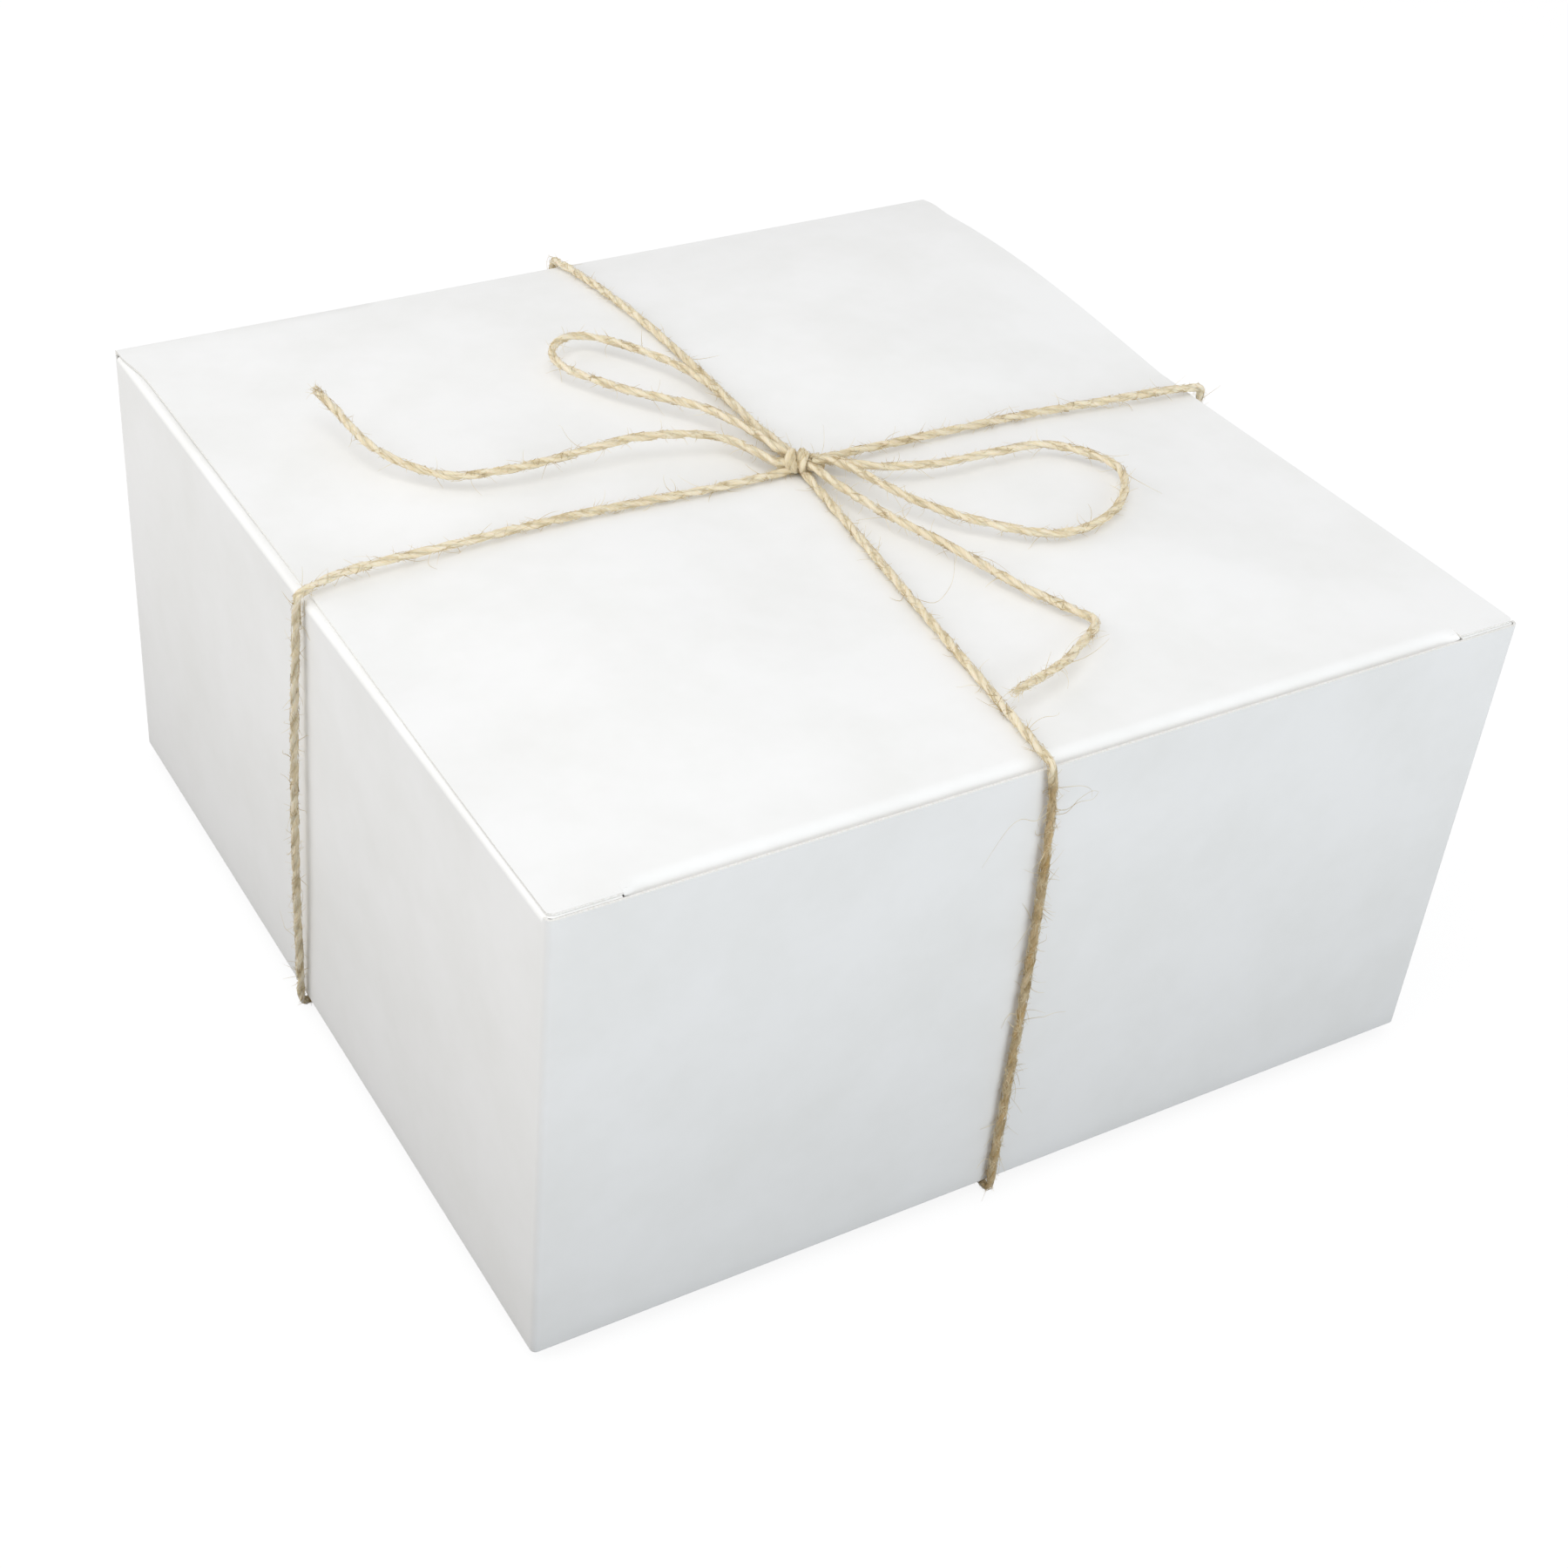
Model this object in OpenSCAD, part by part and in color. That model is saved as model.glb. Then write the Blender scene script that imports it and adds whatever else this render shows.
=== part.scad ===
// Square tuck-top gift box of folded white paperboard, tied with jute twine in a bow.
// +X is right along the tuck face, +Y is towards the lid crease, +Z is up.
// The origin is the centre of the footprint, on the surface that the tied box stands on.

/* [Box] */
// Outside width, left to right
box_w = 203.2; // [180:0.1:240]
// Outside depth, tuck face to lid crease
box_d = 203.2; // [190:0.1:240]
// Outside height, underside to lid top
box_h = 101.6; // [80:0.1:150]
// Thickness of the paperboard
board_t = 0.5; // [0.3:0.05:0.7]
// Outside radius of the four upright corner creases
corner_r = 1.2; // [0.9:0.1:2.5]
// Width of the glued seam flap inside the back wall
glue_w = 16; // [10:1:25]
// Set-back of the seam flap from the wall's top and bottom
glue_trim = 6; // [3:1:12]

/* [Lid] */
// Distance of the lid's side edges from the side faces
lid_inset = 1.8; // [1:0.1:4]
// Height of the bow in the lid between its crease and the twine
lid_bow = 3.2; // [0:0.1:4]
// Depth at which the lid lies flat again, measured back from the centre
bow_end = 4; // [2:1:20]
// Outside radius of the fold from lid to tuck flap
fold_r = 3.5; // [2:0.1:5]
// Angle of the fold that stays with the lid
lid_fold = 40; // [30:1:50]
// Running gap between the fold and the front wall
fold_gap = 0.4; // [0.2:0.1:1]
// Set-back of the lid's front corner tabs from the front face
tab_back = 1; // [0.8:0.1:2]
// Width of each lid corner tab, which is the length of its slit
tab_w = 12; // [8:1:20]
// Corner radius of the tabs
tab_r = 2; // [1:0.5:4]
// Distance of the front wall's raw edge below the lid top
front_drop = 0.8; // [0.6:0.1:1.5]
// Straight length of the tuck flap below its fold
tuck_l = 22; // [15:1:35]
// Inward lean of the closed tuck flap
tuck_lean = 6; // [5:0.5:10]
// Radius of the tuck flap's lower corners
tuck_r = 12; // [4:1:15]
// Clearance between the tuck flap's ends and the slits
slit_gap = 0.3; // [0.2:0.1:1]

/* [Dust flaps] */
// Reach of a dust flap in from its side wall
dust_l = 72; // [45:1:85]
// Gap between a dust flap's square corner and the front wall
dust_gap = 0.6; // [0.3:0.1:2]
// Set-back of a dust flap's front edge behind that square corner
dust_step = 8.4; // [7:0.1:14]
// Set-back of a dust flap's rear edge from the lid crease, at the side wall
dust_rear = 4; // [3:0.5:10]
// Rear edge's run towards the front for each millimetre of reach
dust_slope = 0.6; // [0.55:0.05:1]
// Radius of a dust flap's inner corners
dust_r = 9; // [3:1:15]

/* [Locking base] */
// Reach of the base flap on the back wall
base_back_l = 118; // [108:1:130]
// Reach of the base flap on the front wall
base_front_l = 86; // [70:1:94]
// Reach of the two side flaps
base_side_l = 92; // [60:1:100]
// Width of the locking tongue
tongue_w = 84; // [50:1:110]
// Length of the tongue past its neck
tongue_l = 30; // [15:1:45]
// Clearance round the tongue's neck
tongue_gap = 0.6; // [0.3:0.1:2]
// Width lost by a side flap at its free end, on each side
side_taper = 45; // [20:1:70]

/* [Twine] */
// Diameter of the twine
twine_d = 2.2; // [1.5:0.1:2.5]
// Clearance between the twine and the board
twine_gap = 0.1; // [0.05:0.05:0.3]
// Place of the strand at the back edge of the lid
back_top_x = 2; // [-10:1:10]
// Place of the strand at the front edge of the lid
front_top_x = -7; // [-15:1:0]
// Place of the strand under the base from front to back
low_x = -3.5; // [-15:0.5:5]
// Place of the strand at the left edge of the lid
left_top_y = -3; // [-10:1:2]
// Place of the strand under the base from left to right
low_y = 3.5; // [-10:0.5:10]
// Place of the strand at the right edge of the lid
right_top_y = -5; // [-10:1:2]
// Length of the knot
knot_l = 8.6; // [7:0.1:9]
// Diameter of the knot
knot_d = 5.4; // [4.5:0.1:5.8]
// Clearance between the knot and the strands that run into it
knot_gap = 0.3; // [0.2:0.1:0.6]

/* [Hidden] */
$fn = 48;

// Colours
BOARD = "#f6f5f2";
BOARD_INSIDE = "#eeece7";
JUTE = "#d9c49a";

// Box levels and faces
half_w = box_w / 2;
half_d = box_d / 2;
floor_z = twine_d + twine_gap;
lid_z = floor_z + box_h;
crease_z = lid_z - board_t;
side_z = crease_z - board_t;
front_z = lid_z - front_drop;
inner_w = box_w - 2 * board_t;
inner_d = box_d - 2 * board_t;

// Lid outline
lid_half_w = half_w - lid_inset;
fold_y = -half_d + board_t + fold_gap + fold_r;
tab_y = -half_d + tab_back;
slit_x = lid_half_w - tab_w;
bow_reach = half_d - bow_end;
bow_steps = 24;
arc_steps = 8;

// Base layers, from the outside in
layer = [for (i = [0:4]) floor_z + i * board_t];
neck_y = -half_d + board_t + base_front_l;
notch_w = tongue_w + 2 * tongue_gap;
notch_end = neck_y + board_t + tongue_gap;

// Twine centre lines
twine_r = twine_d / 2;
base_z = twine_r;
wall_off = twine_gap + twine_r;
top_z = lid_z + wall_off;
knot_at = [5, -0.5, lid_z + twine_gap + knot_d / 2];
knot_turn = -30;
side_n = 8;
spare_l = 5;
back_rings = 16;
route_steps = 2;
knot_edge_r = 1;
back_stop = knot_at[1] + (knot_d / 2 + knot_gap + twine_r * abs(sin(knot_turn))) / cos(knot_turn);

// Free ends of the bow: each point is x, y and height above the lid
LOOP_LEFT = [[3.7, 4, 3.9], [2, 12.5, 5], [1.5, 23.5, 5.6], [0, 35.5, 6], [-6, 48, 6.5],
             [-13.5, 57.5, 6.5], [-20.5, 57, 6.5], [-24, 48, 6.5], [-16, 34, 6],
             [-5.5, 22.5, 5.8], [-0.8, 11, 5.6], [1.4, 3, 4.8]];
LOOP_RIGHT = [[9.6, -1.9, 3.3], [17, -10, 4], [28.5, -14.5, 4.5], [41, -15.5, 4.6],
              [53.5, -17.5, 4.6], [61.5, -29.5, 4], [51.5, -42, 3.6], [34.5, -44.5, 3.6],
              [18, -29, 4.6], [11, -10.5, 5], [8.9, -4.1, 4.2]];
TAIL_LEFT = [[0, 0.9, 3], [-5.5, 10.5, 4.4], [-14.5, 13.5, 6], [-26, 15, 6.6],
             [-40.5, 14.5, 6.2], [-53, 15, 5.8], [-64, 19, 5.2], [-72.5, 31, 6.4],
             [-74.5, 46.5, 7.8], [-75.5, 54.5, 8.6]];
TAIL_RIGHT = [[6.1, -5.1, 3], [6.5, -12.5, 3.4], [9, -25, 3.4], [14, -39.5, 3.2],
              [18.5, -55.5, 2.9], [23, -66.5, 2.7], [24.5, -72, 2.7], [17.5, -77, 3.1],
              [9.5, -81.5, 3.6], [-4, -86, 4.4]];

// Rise of the lid's surface above its edges at depth y
function bow(y) =
    let (t = (half_d - y) / bow_reach)
    t <= 0 || t >= 1 ? 0 : lid_bow * sin(180 * pow(t, 0.8));

// Points along an arc
function arc(centre, r, from, to, n) =
    [for (i = [0:n]) centre + r * [cos(from + (to - from) * i / n), sin(from + (to - from) * i / n)]];

// Smooth curve through the points, with n steps between each pair
function pick(p, i) = p[max(0, min(len(p) - 1, i))];
function blend4(a, b, c, d, t) =
    0.5 * (2 * b + (c - a) * t + (2 * a - 5 * b + 4 * c - d) * t * t
           + (3 * b - a - 3 * c + d) * t * t * t);
function smooth(p, n) = concat(
    [for (i = [0:len(p) - 2], k = [0:n - 1])
        blend4(pick(p, i - 1), p[i], p[i + 1], pick(p, i + 2), k / n)],
    [p[len(p) - 1]]);
function unit(v) = v / norm(v);
function heading(p, i) = unit(pick(p, i + 1) - pick(p, i - 1));

// Round twine along a list of points, as one closed solid
module tube(p, d) {
    r = d / 2 / cos(180 / side_n);
    n = len(p);
    rings = [for (i = [0:n - 1])
        let (t = heading(p, i), s = unit(cross(t, [0, 0, 1])), u = cross(s, t))
        for (k = [0:side_n - 1])
            let (a = 360 * (k + 0.5) / side_n) p[i] + r * (cos(a) * s + sin(a) * u)];
    sides = [for (i = [0:n - 2], k = [0:side_n - 1])
        let (a = i * side_n + k, b = i * side_n + (k + 1) % side_n)
        each [[a, b, a + side_n], [b, b + side_n, a + side_n]]];
    first = [for (k = [side_n - 1:-1:0]) k];
    last = [for (k = [0:side_n - 1]) (n - 1) * side_n + k];
    polyhedron(points = rings, faces = concat(sides, [first, last]), convexity = 6);
}

// Straight eight-sided twine from p to q, with a flat side towards the board
module strand(p, q) {
    v = q - p;
    translate(p)
        rotate([0, acos(v[2] / norm(v)), atan2(v[1], v[0])])
            rotate([0, 0, 180 / side_n])
                cylinder(d = twine_d / cos(180 / side_n), h = norm(v), $fn = side_n);
}

// Quarter turn of the twine round a straight edge along +Y, from below the edge to its +X side
module edge_turn() {
    rotate([90, 0, 0])
        rotate_extrude(angle = 90)
            translate([wall_off, 0])
                rotate(180 / side_n)
                    circle(d = twine_d / cos(180 / side_n), $fn = side_n);
}

// Outline of the folded wall at a distance in from the outer face
module wall_outline(inset) {
    w = box_w - 2 * inset;
    d = box_d - 2 * inset;
    r = corner_r - inset;
    square([w - 2 * r, d], center = true);
    square([w, d - 2 * r], center = true);
    for (sx = [-1, 1], sy = [-1, 1])
        translate([sx * (w / 2 - r), sy * (d / 2 - r)]) circle(r);
}

// Ring of board that the four walls are cut from
module wall_ring(top) {
    translate([0, 0, floor_z])
        linear_extrude(top - floor_z)
            difference() {
                wall_outline(0);
                wall_outline(board_t);
            }
}

// Part of the ring that faces the tuck side or the crease side
module long_wall(side, top) {
    color(BOARD)
        intersection() {
            wall_ring(top);
            translate([-half_w, side > 0 ? half_d - corner_r : -half_d, 0])
                cube([box_w, corner_r, top]);
        }
}

// Part of the ring that faces left or right, between the upright creases
module side_wall(side) {
    color(BOARD)
        intersection() {
            wall_ring(side_z);
            translate([side > 0 ? half_w - corner_r : -half_w, -half_d + corner_r, 0])
                cube([corner_r, box_d - 2 * corner_r, side_z]);
        }
}

module front_wall() { long_wall(-1, front_z); }
module back_wall() { long_wall(1, crease_z); }
module left_wall() { side_wall(-1); }
module right_wall() { side_wall(1); }

// Seam flap that continues the left wall and is glued inside the back wall
module glue_flap() {
    color(BOARD_INSIDE)
        translate([-half_w + corner_r, half_d - 2 * board_t, layer[4] + glue_trim])
            cube([glue_w, board_t, side_z - layer[4] - 2 * glue_trim]);
}

// Innermost base flap, with the notch that takes the tongue's neck
module base_back_flap() {
    edge_y = half_d - board_t - base_back_l;
    color(BOARD_INSIDE)
        translate([0, 0, layer[2]])
            linear_extrude(board_t)
                difference() {
                    translate([-inner_w / 2 + corner_r, edge_y])
                        square([inner_w - 2 * corner_r, base_back_l - corner_r]);
                    translate([-notch_w / 2, edge_y - 1])
                        square([notch_w, notch_end - edge_y + 1]);
                }
}

// Tapered base flap on a side wall
module base_side_flap(side) {
    root = inner_w / 2;
    tip = root - base_side_l;
    wide = inner_d / 2 - corner_r;
    color(BOARD_INSIDE)
        translate([0, 0, layer[1]])
            linear_extrude(board_t)
                difference() {
                    polygon([[side * root, -wide], [side * tip, -wide + side_taper],
                             [side * tip, wide - side_taper], [side * root, wide]]);
                    translate([-notch_w / 2, neck_y - tongue_gap])
                        square([notch_w, board_t + 2 * tongue_gap]);
                }
}
module base_left_flap() { base_side_flap(-1); }
module base_right_flap() { base_side_flap(1); }

// Outermost base flap: its neck steps up through the notch and its tongue lies inside
module base_front_flap() {
    width = inner_w - 2 * corner_r;
    color(BOARD)
        union() {
            translate([-width / 2, -half_d + board_t, layer[0]])
                cube([width, base_front_l, board_t]);
            translate([-tongue_w / 2, neck_y - board_t, layer[0]])
                cube([tongue_w, 2 * board_t, board_t]);
            translate([-tongue_w / 2, neck_y, layer[0]])
                cube([tongue_w, board_t, 4 * board_t]);
            translate([-tongue_w / 2, neck_y, layer[3]])
                cube([tongue_w, tongue_l, board_t]);
        }
}

// Extrudes a profile drawn in y and z across the width
module across(half) {
    translate([-half, 0, 0])
        rotate([90, 0, 90])
            linear_extrude(2 * half)
                children();
}

// Lid with its bow, its slit front corners and the start of the tuck fold
module lid_panel() {
    ys = [for (i = [0:bow_steps]) half_d - (half_d - fold_y) * i / bow_steps];
    top = [for (y = ys) [y, lid_z + bow(y)]];
    under = [for (i = [bow_steps:-1:0]) [ys[i], crease_z + bow(ys[i])]];
    hub = [fold_y, lid_z - fold_r];
    color(BOARD)
        union() {
            across(lid_half_w) polygon(concat(top, under));
            across(slit_x)
                polygon(concat([[fold_y + 1, lid_z]], arc(hub, fold_r, 90, 90 + lid_fold, arc_steps),
                               arc(hub, fold_r - board_t, 90 + lid_fold, 90, arc_steps),
                               [[fold_y + 1, crease_z]]));
            for (side = [-1, 1])
                translate([side * (slit_x + tab_w / 2), 0, crease_z])
                    linear_extrude(board_t)
                        tab_outline(side);
        }
}

// Flat corner tab, rounded at its outer front corner
module tab_outline(side) {
    length = fold_y + 1 - tab_y;
    translate([-tab_w / 2, tab_y + tab_r]) square([tab_w, length - tab_r]);
    translate([side > 0 ? -tab_w / 2 : tab_r - tab_w / 2, tab_y])
        square([tab_w - tab_r, length]);
    translate([side * (tab_w / 2 - tab_r), tab_y + tab_r]) circle(tab_r);
}

// Place and heading of the tuck flap's crease, on the outside of the fold
tuck_hinge = [fold_y, lid_z - fold_r] + fold_r * [-sin(lid_fold), cos(lid_fold)];

// Rest of the fold and the flap behind the front wall
module tuck_flap() {
    hub = [fold_y, lid_z - fold_r];
    turn = 90 + tuck_lean;
    out = hub + fold_r * [cos(90 + turn), sin(90 + turn)];
    in = hub + (fold_r - board_t) * [cos(90 + turn), sin(90 + turn)];
    down = tuck_l * [cos(180 + turn), sin(180 + turn)];
    half = slit_x - slit_gap;
    color(BOARD)
        difference() {
            across(half)
                polygon(concat(arc(hub, fold_r, 90 + lid_fold, 90 + turn, arc_steps),
                               [out + down, in + down],
                               arc(hub, fold_r - board_t, 90 + turn, 90 + lid_fold, arc_steps)));
            for (side = [-1, 1])
                translate([side * half, (out + down)[0], (out + down)[1]])
                    rotate([90 - tuck_lean, 0, 0])
                        linear_extrude(4 * fold_r, center = true)
                            difference() {
                                square(2 * tuck_r, center = true);
                                translate([-side * tuck_r, tuck_r]) circle(tuck_r);
                            }
        }
}

// Dust flap: square front corner, stepped front edge and a slanting rear edge
module dust_flap(side) {
    front = -half_d + board_t + dust_gap;
    rear = half_d - dust_rear;
    tip_front = front + dust_step;
    tip_rear = rear - dust_slope * dust_l;
    shoulder = half_w - slit_x + slit_gap;
    color(BOARD_INSIDE)
        translate([side * half_w, 0, side_z])
            linear_extrude(board_t)
                difference() {
                    polygon([for (p = [[corner_r, front], [0, front + corner_r], [0, rear],
                                       [dust_l, tip_rear], [dust_l, tip_front],
                                       [shoulder, tip_front], [shoulder - 1, front]])
                             [-side * p[0], p[1]]]);
                    translate([-side * dust_l, tip_front])
                        difference() {
                            square(2 * dust_r, center = true);
                            translate([side * dust_r, dust_r]) circle(dust_r);
                        }
                }
}
module left_dust_flap() { dust_flap(-1); }
module right_dust_flap() { dust_flap(1); }

// Twine under the base, from the crossing to just round the four lower edges
module twine_base_cross() {
    color(JUTE)
        union() {
            strand([low_x, -half_d, base_z], [low_x, half_d, base_z]);
            strand([-half_w, low_y, base_z], [half_w, low_y, base_z]);
            translate([low_x, -half_d, floor_z]) rotate([0, 0, -90]) low_turn();
            translate([low_x, half_d, floor_z]) rotate([0, 0, 90]) low_turn();
            translate([-half_w, low_y, floor_z]) rotate([0, 0, 180]) low_turn();
            translate([half_w, low_y, floor_z]) low_turn();
        }
}

// Turn round a lower edge whose wall faces +X
module low_turn() { rotate([0, 90, 0]) edge_turn(); }

// Turn round an upper edge whose wall faces +X
module high_turn() { edge_turn(); }

// Strand up a wall with its turn round the upper edge; the wall faces the angle a
module rise(low, high, a) {
    spare = spare_l * unit(high - low);
    color(JUTE)
        union() {
            intersection() {
                strand(low - spare, high + spare);
                translate([-box_w, -box_d, floor_z]) cube([2 * box_w, 2 * box_d, box_h]);
            }
            translate([high[0], high[1], lid_z] - wall_off * [cos(a), sin(a), 0])
                rotate([0, 0, a]) high_turn();
        }
}
module twine_front_rise() {
    rise([low_x, -half_d - wall_off, floor_z], [front_top_x, -half_d - wall_off, lid_z], -90);
}
module twine_back_rise() {
    rise([low_x, half_d + wall_off, floor_z], [back_top_x, half_d + wall_off, lid_z], 90);
}
module twine_left_rise() {
    rise([-half_w - wall_off, low_y, floor_z], [-half_w - wall_off, left_top_y, lid_z], 180);
}
module twine_right_rise() {
    rise([half_w + wall_off, low_y, floor_z], [half_w + wall_off, right_top_y, lid_z], 0);
}

// Space round the knot, where the straight top strands stop
module knot_room() {
    translate([knot_at[0], knot_at[1], lid_z - 1])
        rotate([0, 0, knot_turn])
            translate([-knot_l / 2 - knot_gap, -knot_d / 2 - knot_gap, 0])
                cube([knot_l + 2 * knot_gap, knot_d + 2 * knot_gap, 3 * knot_d]);
}

// Straight strand over the lid from an edge to the knot
module top_strand(edge) {
    middle = [knot_at[0], knot_at[1], top_z];
    color(JUTE)
        difference() {
            intersection() {
                strand(edge + spare_l * unit(edge - middle), middle);
                translate([-half_w, -half_d, lid_z]) cube([box_w, box_d, 2 * twine_d]);
            }
            knot_room();
        }
}
module twine_front_top() { top_strand([front_top_x, -half_d, top_z]); }
module twine_left_top() { top_strand([-half_w, left_top_y, top_z]); }
module twine_right_top() { top_strand([half_w, right_top_y, top_z]); }

// Strand over the bow in the lid
module twine_back_top() {
    start = half_d - knot_gap;
    color(JUTE)
        tube([for (i = [0:back_rings])
            let (y = start - (start - back_stop) * i / back_rings,
                 x = back_top_x + (knot_at[0] - back_top_x) * (half_d - y) / (half_d - knot_at[1]))
            [x, y, top_z + bow(y)]], twine_d);
}

// Knot where the four strands, two loops and two tails meet
module bow_knot() {
    rim_r = knot_d / 2 - knot_edge_r;
    color(JUTE)
        translate(knot_at)
            rotate([0, 0, knot_turn])
                rotate([0, 90, 0])
                    rotate_extrude()
                        polygon(concat([[0, -knot_l / 2]],
                                       arc([rim_r, knot_edge_r - knot_l / 2], knot_edge_r, -90, 0, 4),
                                       arc([rim_r, knot_l / 2 - knot_edge_r], knot_edge_r, 0, 90, 4),
                                       [[0, knot_l / 2]]));
}

// Free twine of the bow, from its list of points above the lid
module free_twine(route) {
    color(JUTE)
        tube(smooth([for (p = route) p + [0, 0, lid_z]], route_steps), twine_d);
}
module bow_loop_left() { free_twine(LOOP_LEFT); }
module bow_loop_right() { free_twine(LOOP_RIGHT); }
module bow_tail_left() { free_twine(TAIL_LEFT); }
module bow_tail_right() { free_twine(TAIL_RIGHT); }

front_wall();
back_wall();
left_wall();
right_wall();
glue_flap();
base_back_flap();
base_left_flap();
base_right_flap();
base_front_flap();
lid_panel();
tuck_flap();
left_dust_flap();
right_dust_flap();
twine_base_cross();
twine_front_rise();
twine_back_rise();
twine_left_rise();
twine_right_rise();
twine_front_top();
twine_back_top();
twine_left_top();
twine_right_top();
bow_knot();
bow_loop_left();
bow_loop_right();
bow_tail_left();
bow_tail_right();
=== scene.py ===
"""Square tuck-top gift box of folded white paperboard, tied with jute twine in a bow.

Every size is in millimetres unless a name says otherwise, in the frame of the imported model:
+X is right along the tuck face, +Y is towards the lid crease and +Z is up.
"""

import logging
import math
import random
from dataclasses import dataclass, field, replace
from enum import Enum
from typing import Callable, NamedTuple, Optional, Sequence

import bpy
import numpy as np
from mathutils import Matrix, Vector, noise


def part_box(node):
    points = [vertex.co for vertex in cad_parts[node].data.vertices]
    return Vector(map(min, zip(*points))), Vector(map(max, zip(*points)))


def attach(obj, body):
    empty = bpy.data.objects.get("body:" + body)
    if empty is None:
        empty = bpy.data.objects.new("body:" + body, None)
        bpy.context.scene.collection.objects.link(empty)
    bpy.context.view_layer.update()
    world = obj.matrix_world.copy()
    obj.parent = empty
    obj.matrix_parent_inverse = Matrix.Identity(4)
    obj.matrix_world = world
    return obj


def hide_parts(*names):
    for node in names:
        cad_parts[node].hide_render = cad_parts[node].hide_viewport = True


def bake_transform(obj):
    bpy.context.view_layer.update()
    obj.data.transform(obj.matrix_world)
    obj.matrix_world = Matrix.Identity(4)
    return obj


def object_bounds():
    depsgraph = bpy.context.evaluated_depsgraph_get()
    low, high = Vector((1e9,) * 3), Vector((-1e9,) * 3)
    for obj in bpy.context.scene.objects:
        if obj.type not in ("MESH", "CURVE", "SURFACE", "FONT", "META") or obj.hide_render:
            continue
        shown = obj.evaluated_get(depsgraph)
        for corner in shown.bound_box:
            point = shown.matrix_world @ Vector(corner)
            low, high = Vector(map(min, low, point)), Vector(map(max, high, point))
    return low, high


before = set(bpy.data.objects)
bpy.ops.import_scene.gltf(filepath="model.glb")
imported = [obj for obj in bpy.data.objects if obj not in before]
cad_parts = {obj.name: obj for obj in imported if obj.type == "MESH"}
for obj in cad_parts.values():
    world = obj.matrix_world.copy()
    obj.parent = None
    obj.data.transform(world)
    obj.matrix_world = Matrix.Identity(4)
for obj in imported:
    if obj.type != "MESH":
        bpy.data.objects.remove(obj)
CAD_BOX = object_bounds()

MM = 0.001
# Edges that turn by more than this many degrees stay crisp.
CRISP_ANGLE = 35.0
# Share of a step that rounding may add or take, and the distance at which places count as one.
SLIGHT = 1e-6
TOUCH = 0.01
LOG = logging.getLogger("gift_box")
logging.basicConfig(level=logging.INFO, format="%(name)s: %(message)s")

Point = Sequence[float]
Piece = bpy.types.Object


# ---------------------------------------------------------------- shared helpers


def linear(hex_colour: str) -> tuple[float, float, float, float]:
    """Turn an sRGB hex colour into linear light.

    Args:
        hex_colour: Colour as "#rrggbb".

    Returns:
        The linear red, green, blue and an alpha of 1.
    """
    parts = [int(hex_colour[i:i + 2], 16) / 255 for i in (1, 3, 5)]
    lin = [c / 12.92 if c <= 0.04045 else ((c + 0.055) / 1.055) ** 2.4 for c in parts]
    return (lin[0], lin[1], lin[2], 1.0)


def add_node(
    tree: bpy.types.NodeTree,
    kind: str,
    settings: Optional[dict] = None,
    inputs: Optional[dict] = None,
    stops: Sequence[tuple[float, str]] = (),
) -> bpy.types.Node:
    """Add a shader node, set it up and link it.

    Args:
        tree: Node tree that gets the node.
        kind: Blender's name of the node type.
        settings: Attributes of the node to set.
        inputs: Socket name or number to a value, or to the output socket that feeds it.
        stops: Places from 0 to 1 on a colour ramp, each with its hex colour.

    Returns:
        The new node.
    """
    made = tree.nodes.new(kind)
    for name, value in (settings or {}).items():
        setattr(made, name, value)
    for name, value in (inputs or {}).items():
        if isinstance(value, bpy.types.NodeSocket):
            tree.links.new(value, made.inputs[name])
        else:
            made.inputs[name].default_value = value
    if stops:
        elements = made.color_ramp.elements
        while len(elements) < len(stops):
            elements.new(0.5)
        for element, (place, colour) in zip(elements, stops):
            element.position = place
            element.color = linear(colour)
    return made


def new_material(name: str) -> tuple[bpy.types.Material, bpy.types.NodeTree, bpy.types.NodeSocket]:
    """Start a node material whose patterns keep their place on the piece.

    Args:
        name: Name of the material.

    Returns:
        The material, its cleared node tree, and the socket that gives the place on the piece.
    """
    made = bpy.data.materials.new(name)
    made.use_nodes = True
    tree = made.node_tree
    tree.nodes.clear()
    return made, tree, add_node(tree, "ShaderNodeTexCoord").outputs["Object"]


def mesh_object(
    name: str,
    points: Sequence[Point],
    faces: Sequence[Sequence[int]],
    materials: Sequence[bpy.types.Material],
    crisp_angle: float = CRISP_ANGLE,
) -> Piece:
    """Make a smooth-shaded mesh object from points in millimetres.

    Args:
        name: Name of the object.
        points: One row of x, y and z for each point.
        faces: Point numbers of each face, outward side anticlockwise.
        materials: Materials in slot order.
        crisp_angle: Edges that turn by more than this many degrees stay crisp.

    Returns:
        The object, linked to the scene.
    """
    mesh = bpy.data.meshes.new(name)
    mesh.from_pydata((np.asarray(points) * MM).tolist(), [], faces)
    for material in materials:
        mesh.materials.append(material)
    mesh.polygons.foreach_set("use_smooth", [True] * len(mesh.polygons))
    mesh.update()
    mesh.set_sharp_from_angle(angle=math.radians(crisp_angle))
    made = bpy.data.objects.new(name, mesh)
    bpy.context.scene.collection.objects.link(made)
    return made


def apply_modifiers(piece: Piece) -> None:
    """Bake a piece's modifiers into its mesh.

    Args:
        piece: Object whose modifiers are applied.
    """
    bpy.context.view_layer.update()
    graph = bpy.context.evaluated_depsgraph_get()
    mesh = bpy.data.meshes.new_from_object(piece.evaluated_get(graph))
    piece.modifiers.clear()
    piece.data = mesh
    mesh.set_sharp_from_angle(angle=math.radians(CRISP_ANGLE))


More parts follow.
